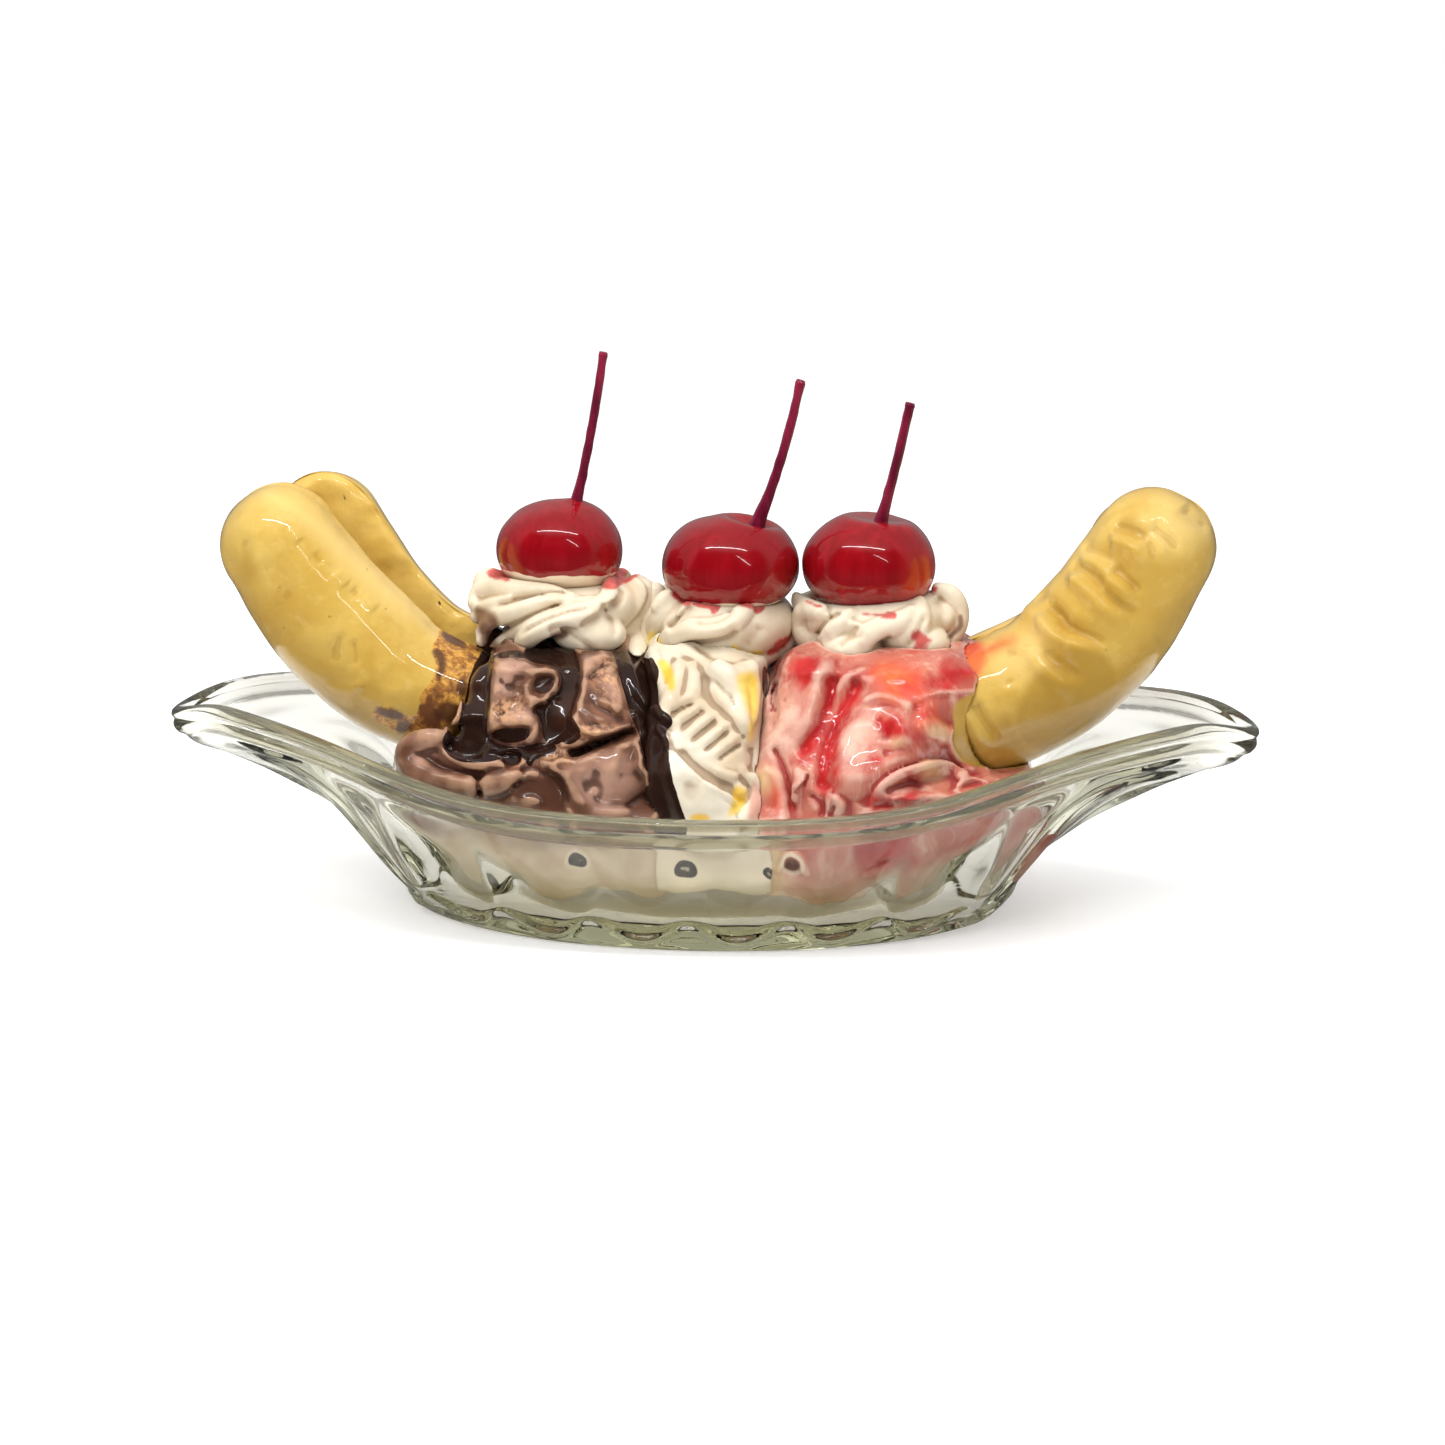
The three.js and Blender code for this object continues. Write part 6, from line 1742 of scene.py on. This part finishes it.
# folded lump with a pale rim, and the folds around it
g.swell(ST([(884, 896), (930, 840), (1020, 796), (1130, 770), (1196, 796), (1190, 860), (1080, 900), (960, 920)]), 2.6, 9, (0, -3), 1.8, 32)
g.lay(ST([(892, 902, 0.8), (930, 848, 1.0), (1010, 806, 1.0), (1110, 776, 1.1), (1180, 790, 1.2), (1196, 830, 1.0)]), 0.5, lift=0.4)
g.crease(ST([(920, 888), (1000, 850), (1060, 860), (1080, 880)]), 3.4, 1.0, 0.15)
g.crease(ST([(1000, 820), (1040, 840), (1060, 890)]), 3.4, 0.7, 0.2)
g.swell(ST([(1190, 800), (1260, 780), (1340, 800), (1360, 860), (1280, 900), (1200, 900)]), 1.8, 12, (0, 0), 1.8, 33)
g.lay(ST([(1196, 880, 0.6), (1210, 846, 0.8), (1260, 834, 0.8), (1310, 850, 0.6)]), 0.4, lift=0.3)
g.swell(ST([(790, 950), (880, 900), (1000, 910), (1090, 900), (1000, 950), (860, 985)]), 1.3, 9, (0, 0), 1.8, 34)
g.crease(ST([(790, 960), (860, 930), (960, 930)]), 2.6, 0.8, 0.15, "sharp")
# small curls at the foot of the furrows
g.lay(ST([(716, 880, 0.7), (720, 920, 1.0), (700, 950, 0.8)]), 0.5, lift=0.4)
g.lay(ST([(740, 900, 0.8), (770, 930, 1.2), (750, 956, 0.8)]), 0.6, lift=0.4)
g.lay(ST([(690, 958, 0.7), (720, 966, 0.7), (690, 985, 0.6)]), 0.5, lift=0.3)
g.crease(ST([(640, 880), (690, 930), (680, 980)]), 3.4, 1.0, 0.15)
# under the rim: a low gather and a vent
g.crease([(790, 860), (796, 862)], 4.0, 2.4, 0)
g.lay([(780, 866, 0.8), (786, 852, 1.0), (800, 854, 1.0), (804, 868, 0.8)], 0.7, lift=0.3)
g.lay([(866, 868, 1.0), (876, 860, 1.2), (886, 858, 1.0)], 0.8, lift=0.3)
lumps(g, 2.6, 0.12, 73)
idx, u, v, x, y, z = g.skin()
near = np.exp(-((u - 775) / 18) ** 2 - ((v - 705) / 34) ** 2)
g.f.reshape(-1)[idx] += (near * 0.35 * noise(np.stack([x, y, z], 1).astype(float), 1.5, 77)).astype(np.float32)
carve(g, [banana_field(BANANAS["right_front"], 0.3), banana_field(BANANAS["right_back"], 0.3)])
straw = g
carve(van, [])
fit_between(van, [choc, straw])

STRAW_MARKS = dict(
    red=[(ST([(576, 380), (640, 352), (690, 360), (672, 420), (630, 470), (590, 450)]), None, 13), (ST([(724, 450), (720, 540), (690, 630), (650, 690), (610, 736)]), 8, 11),
         (ST([(800, 520), (750, 600), (716, 680), (700, 770), (690, 860)]), 8, 10), (ST([(1110, 400), (1240, 380), (1300, 420), (1250, 480), (1130, 470)]), None, 12), (ST([(710, 600), (670, 680), (640, 750)]), 5, 13), (ST([(890, 600), (960, 580), (1040, 640), (1030, 690), (940, 690), (900, 650)]), None, 15),
         (ST([(1080, 440), (1180, 400), (1280, 370), (1260, 420), (1180, 480), (1100, 490)]), None, 19), (ST([(1080, 540), (1130, 560), (1150, 610), (1110, 630)]), None, 15), (ST([(1000, 800), (1030, 796), (1046, 816), (1016, 822)]), None, 6),
         ([(846, 830), (912, 822), (918, 848), (896, 880), (868, 880), (850, 855)], None, 13), (ST([(736, 800), (750, 840), (740, 860)]), 5, 13), (ST([(880, 690), (940, 720), (900, 760)]), 4, 17), (ST([(860, 900), (960, 890), (1060, 880), (1000, 920), (900, 940)]), None, 13)],
    orange=[(ST([(860, 420), (960, 390), (1060, 410), (1080, 470), (1060, 540), (960, 520), (890, 500)]), None, 19), (ST([(890, 590), (940, 590), (930, 650), (900, 640)]), None, 13), (ST([(1040, 470), (1080, 560), (1060, 600)]), 8, 17), (ST([(500, 800), (540, 880), (550, 960), (500, 950)]), None, 17)],
    skin=[([(952, 703), (975, 692), (1030, 670), (1040, 768), (985, 768), (962, 762), (952, 747), (955, 729)], None, 5)],
    cream=[([(745, 832), (786, 838), (783, 866), (800, 908), (745, 912)], None, 9), (ST([(1080, 600), (1170, 650), (1160, 690), (1090, 650)]), None, 10), (ST([(1060, 780), (1130, 770), (1140, 820), (1080, 820)]), None, 13), (ST([(430, 790), (500, 790), (500, 860), (440, 880)]), None, 17), (ST([(950, 680), (990, 670), (1000, 690), (960, 700)]), None, 8)],
    # pale: lighter glaze, and a painted sheen along the top-left facet edge
    pale=[(ST([(450, 560), (560, 600), (590, 700), (520, 740), (450, 700)]), None, 21), (ST([(690, 380), (716, 400), (690, 450), (650, 480)]), None, 8), (ST([(780, 600), (860, 580), (880, 700), (780, 800), (740, 720)]), None, 29), (ST([(480, 440), (510, 480), (500, 580), (476, 540)]), None, 10), (ST([(880, 890), (960, 850), (1020, 870), (940, 900)]), None, 10), (ST([(520, 560), (600, 540), (620, 600), (560, 660)]), None, 21)],
    # painted shade of a vent hole
    hole=[([(790, 860), (794, 862)], 5.0, 5)],
)


def finish_mass(name, node, g, mat, table, keys, bare, seed):
    p, q = finish_clay(g, seed=seed, warp=0.7)
    n = normals(p, q)
    att = {"bend": bending(p, q, n, 7)}
    # marks belong to the near or far outside, not to the underside
    for key in keys:
        att[key] = marks(p, n, table.get(key, []), mirror=True)
    if "skin" in att:
        att["skin"] = att["skin"] * smooth(9, 14, np.abs(p[:, 1]))
    att["bare"] = bare(p, n)
    for key in keys:
        if key != "hole":
            att[key] = att[key] * smooth(-0.85, -0.45, n[:, 2])
    o = make(name, p, q, mat, att)
    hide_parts(node)
    print(name, len(q) * 2, p.min(0).round(1), p.max(0).round(1))
    return o


def low(z0, z1):
    return lambda p, n: np.clip(smooth(z1, z0, p[:, 2] + 1.2 * noise(p, 9, 91)), 0, 1)


finish_mass("chocolate_glaze", "scoop_chocolate", choc, chocolate_material(), CHOC_MARKS, ("pale", "deep", "gold", "sauce", "hole"), low(21, 26), 81)
finish_mass("vanilla_glaze", "scoop_vanilla", van, vanilla_material(), VAN_MARKS, ("shade", "yellow", "pink", "sauce", "hole"), low(18, 26), 83)
finish_mass("strawberry_glaze", "scoop_strawberry", straw, strawberry_material(), STRAW_MARKS, ("pale", "cream", "orange", "red", "skin", "hole"), low(10, 23), 85)


# ------------------------------------------------------------------- studio
scene = bpy.context.scene
scene.view_settings.view_transform = "Standard"
scene.view_settings.look = "None"
scene.cycles.max_bounces = 14                # light that is passed along inside the glass
scene.cycles.glossy_bounces = 8
scene.cycles.transmission_bounces = 12

world = bpy.data.worlds.new("studio")
scene.world = world
world.use_nodes = True
wt = world.node_tree
wt.nodes.clear()


def wn(kind, **kw):
    n = wt.nodes.new(kind)
    for k, v in kw.items():
        setattr(n, k, v)
    return n


def wmath(op, a, b=0.0, clamp=False):
    n = wn("ShaderNodeMath", operation=op, use_clamp=clamp)
    for s, v in zip(n.inputs, (a, b)):
        if hasattr(v, "is_output"):
            wt.links.new(v, s)
        else:
            s.default_value = v
    return n.outputs[0]


def wramp(v, lo, hi, a, b):
    n = wn("ShaderNodeMapRange", interpolation_type="SMOOTHSTEP")
    wt.links.new(v, n.inputs["Value"])
    for k, x in (("From Min", lo), ("From Max", hi), ("To Min", a), ("To Max", b)):
        n.inputs[k].default_value = x
    return n.outputs["Result"]


coord = wn("ShaderNodeTexCoord")
sep = wn("ShaderNodeSeparateXYZ")
wt.links.new(coord.outputs["Generated"], sep.inputs[0])
dx, dy, dz = sep.outputs
# a white room whose front wall, behind the viewer, is dark up to about 45 degrees
side = wmath("DIVIDE", wmath("ABSOLUTE", dx), wmath("MAXIMUM", wmath("MULTIPLY", dy, -1.0), 0.02))
front = wramp(side, 1.8, 3.2, 1.0, 0.0)
front = wmath("MULTIPLY", front, wramp(dy, -0.12, -0.3, 0.0, 1.0))
front = wmath("MULTIPLY", front, wramp(dz, 0.70, 0.88, 1.0, 0.0))
path = wn("ShaderNodeLightPath")
through = path.outputs["Is Transmission Ray"]
front = wmath("MULTIPLY", front, wmath("SUBTRACT", 1.0, wmath("MULTIPLY", through, 0.55)))
light = wramp(dz, 0.05, 0.75, 0.66, 1.0)
room_light = wmath("ADD", wmath("MULTIPLY", wmath("SUBTRACT", 1.0, front), light), wmath("MULTIPLY", front, 0.05))
mirrored = wmath("SUBTRACT", path.outputs["Is Glossy Ray"], through, clamp=True)
shine = wmath("SUBTRACT", 1.0, wmath("MULTIPLY", mirrored, wramp(dz, -0.05, 0.05, 0.82, 0.62)))
room_light = wmath("MULTIPLY", room_light, shine)
mixed = wmath("ADD", wmath("MULTIPLY", path.outputs["Is Camera Ray"], 1.0), wmath("MULTIPLY", wmath("SUBTRACT", 1.0, path.outputs["Is Camera Ray"]), room_light))
bg = wn("ShaderNodeBackground")
bg.inputs["Color"].default_value = (1, 1, 1, 1)
wt.links.new(mixed, bg.inputs["Strength"])
wout = wn("ShaderNodeOutputWorld")
wt.links.new(bg.outputs[0], wout.inputs["Surface"])


def softbox(name, at, aim, size, watts, roll=0.0):
    l = bpy.data.lights.new(name, "AREA")
    l.shape = "RECTANGLE"
    l.size, l.size_y = size[0] * MM, size[1] * MM
    l.energy = watts
    o = bpy.data.objects.new(name, l)
    scene.collection.objects.link(o)
    d = np.array(at, float) - np.array(aim, float)
    z = d / np.linalg.norm(d)
    x = np.cross([0, 0, 1.0], z)
    x /= np.linalg.norm(x)
    y = np.cross(z, x)
    x, y = x * math.cos(roll) + y * math.sin(roll), y * math.cos(roll) - x * math.sin(roll)
    o.matrix_world = Matrix(((x[0], y[0], z[0], at[0] * MM), (x[1], y[1], z[1], at[1] * MM), (x[2], y[2], z[2], at[2] * MM), (0, 0, 0, 1)))
    return o


softbox("strip", (-20, -165, 410), (0, 0, 70), (420, 5), 0.42)
softbox("edge", (175, -325, 305), (-60, 0, 60), (210, 4), 0.11, math.radians(126))   # glint along the left bananas
fill = softbox("fill", (-150, -520, 420), (0, 0, 40), (420, 200), 1.5)
fill.visible_glossy = False
top = softbox("top", (-40, -60, 560), (0, 0, 40), (300, 300), 2.0)
top.visible_glossy = False

floor_mat = bpy.data.materials.new("floor")
floor_mat.use_nodes = True
fb = floor_mat.node_tree.nodes["Principled BSDF"]
fb.inputs["Base Color"].default_value = (0.93, 0.93, 0.93, 1)
fb.inputs["Roughness"].default_value = 0.9
fb.inputs["Specular IOR Level"].default_value = 0.1
fb.inputs["Emission Color"].default_value = (1, 1, 1, 1)
fb.inputs["Emission Strength"].default_value = 0.36
mesh = bpy.data.meshes.new("floor")
mesh.from_pydata([(-6, -4, -0.00006), (6, -4, -0.00006), (6, 12, -0.00006), (-6, 12, -0.00006)], [], [(0, 1, 2, 3)])
mesh.materials.append(floor_mat)
floor = bpy.data.objects.new("floor", mesh)
scene.collection.objects.link(floor)
floor.visible_glossy = False
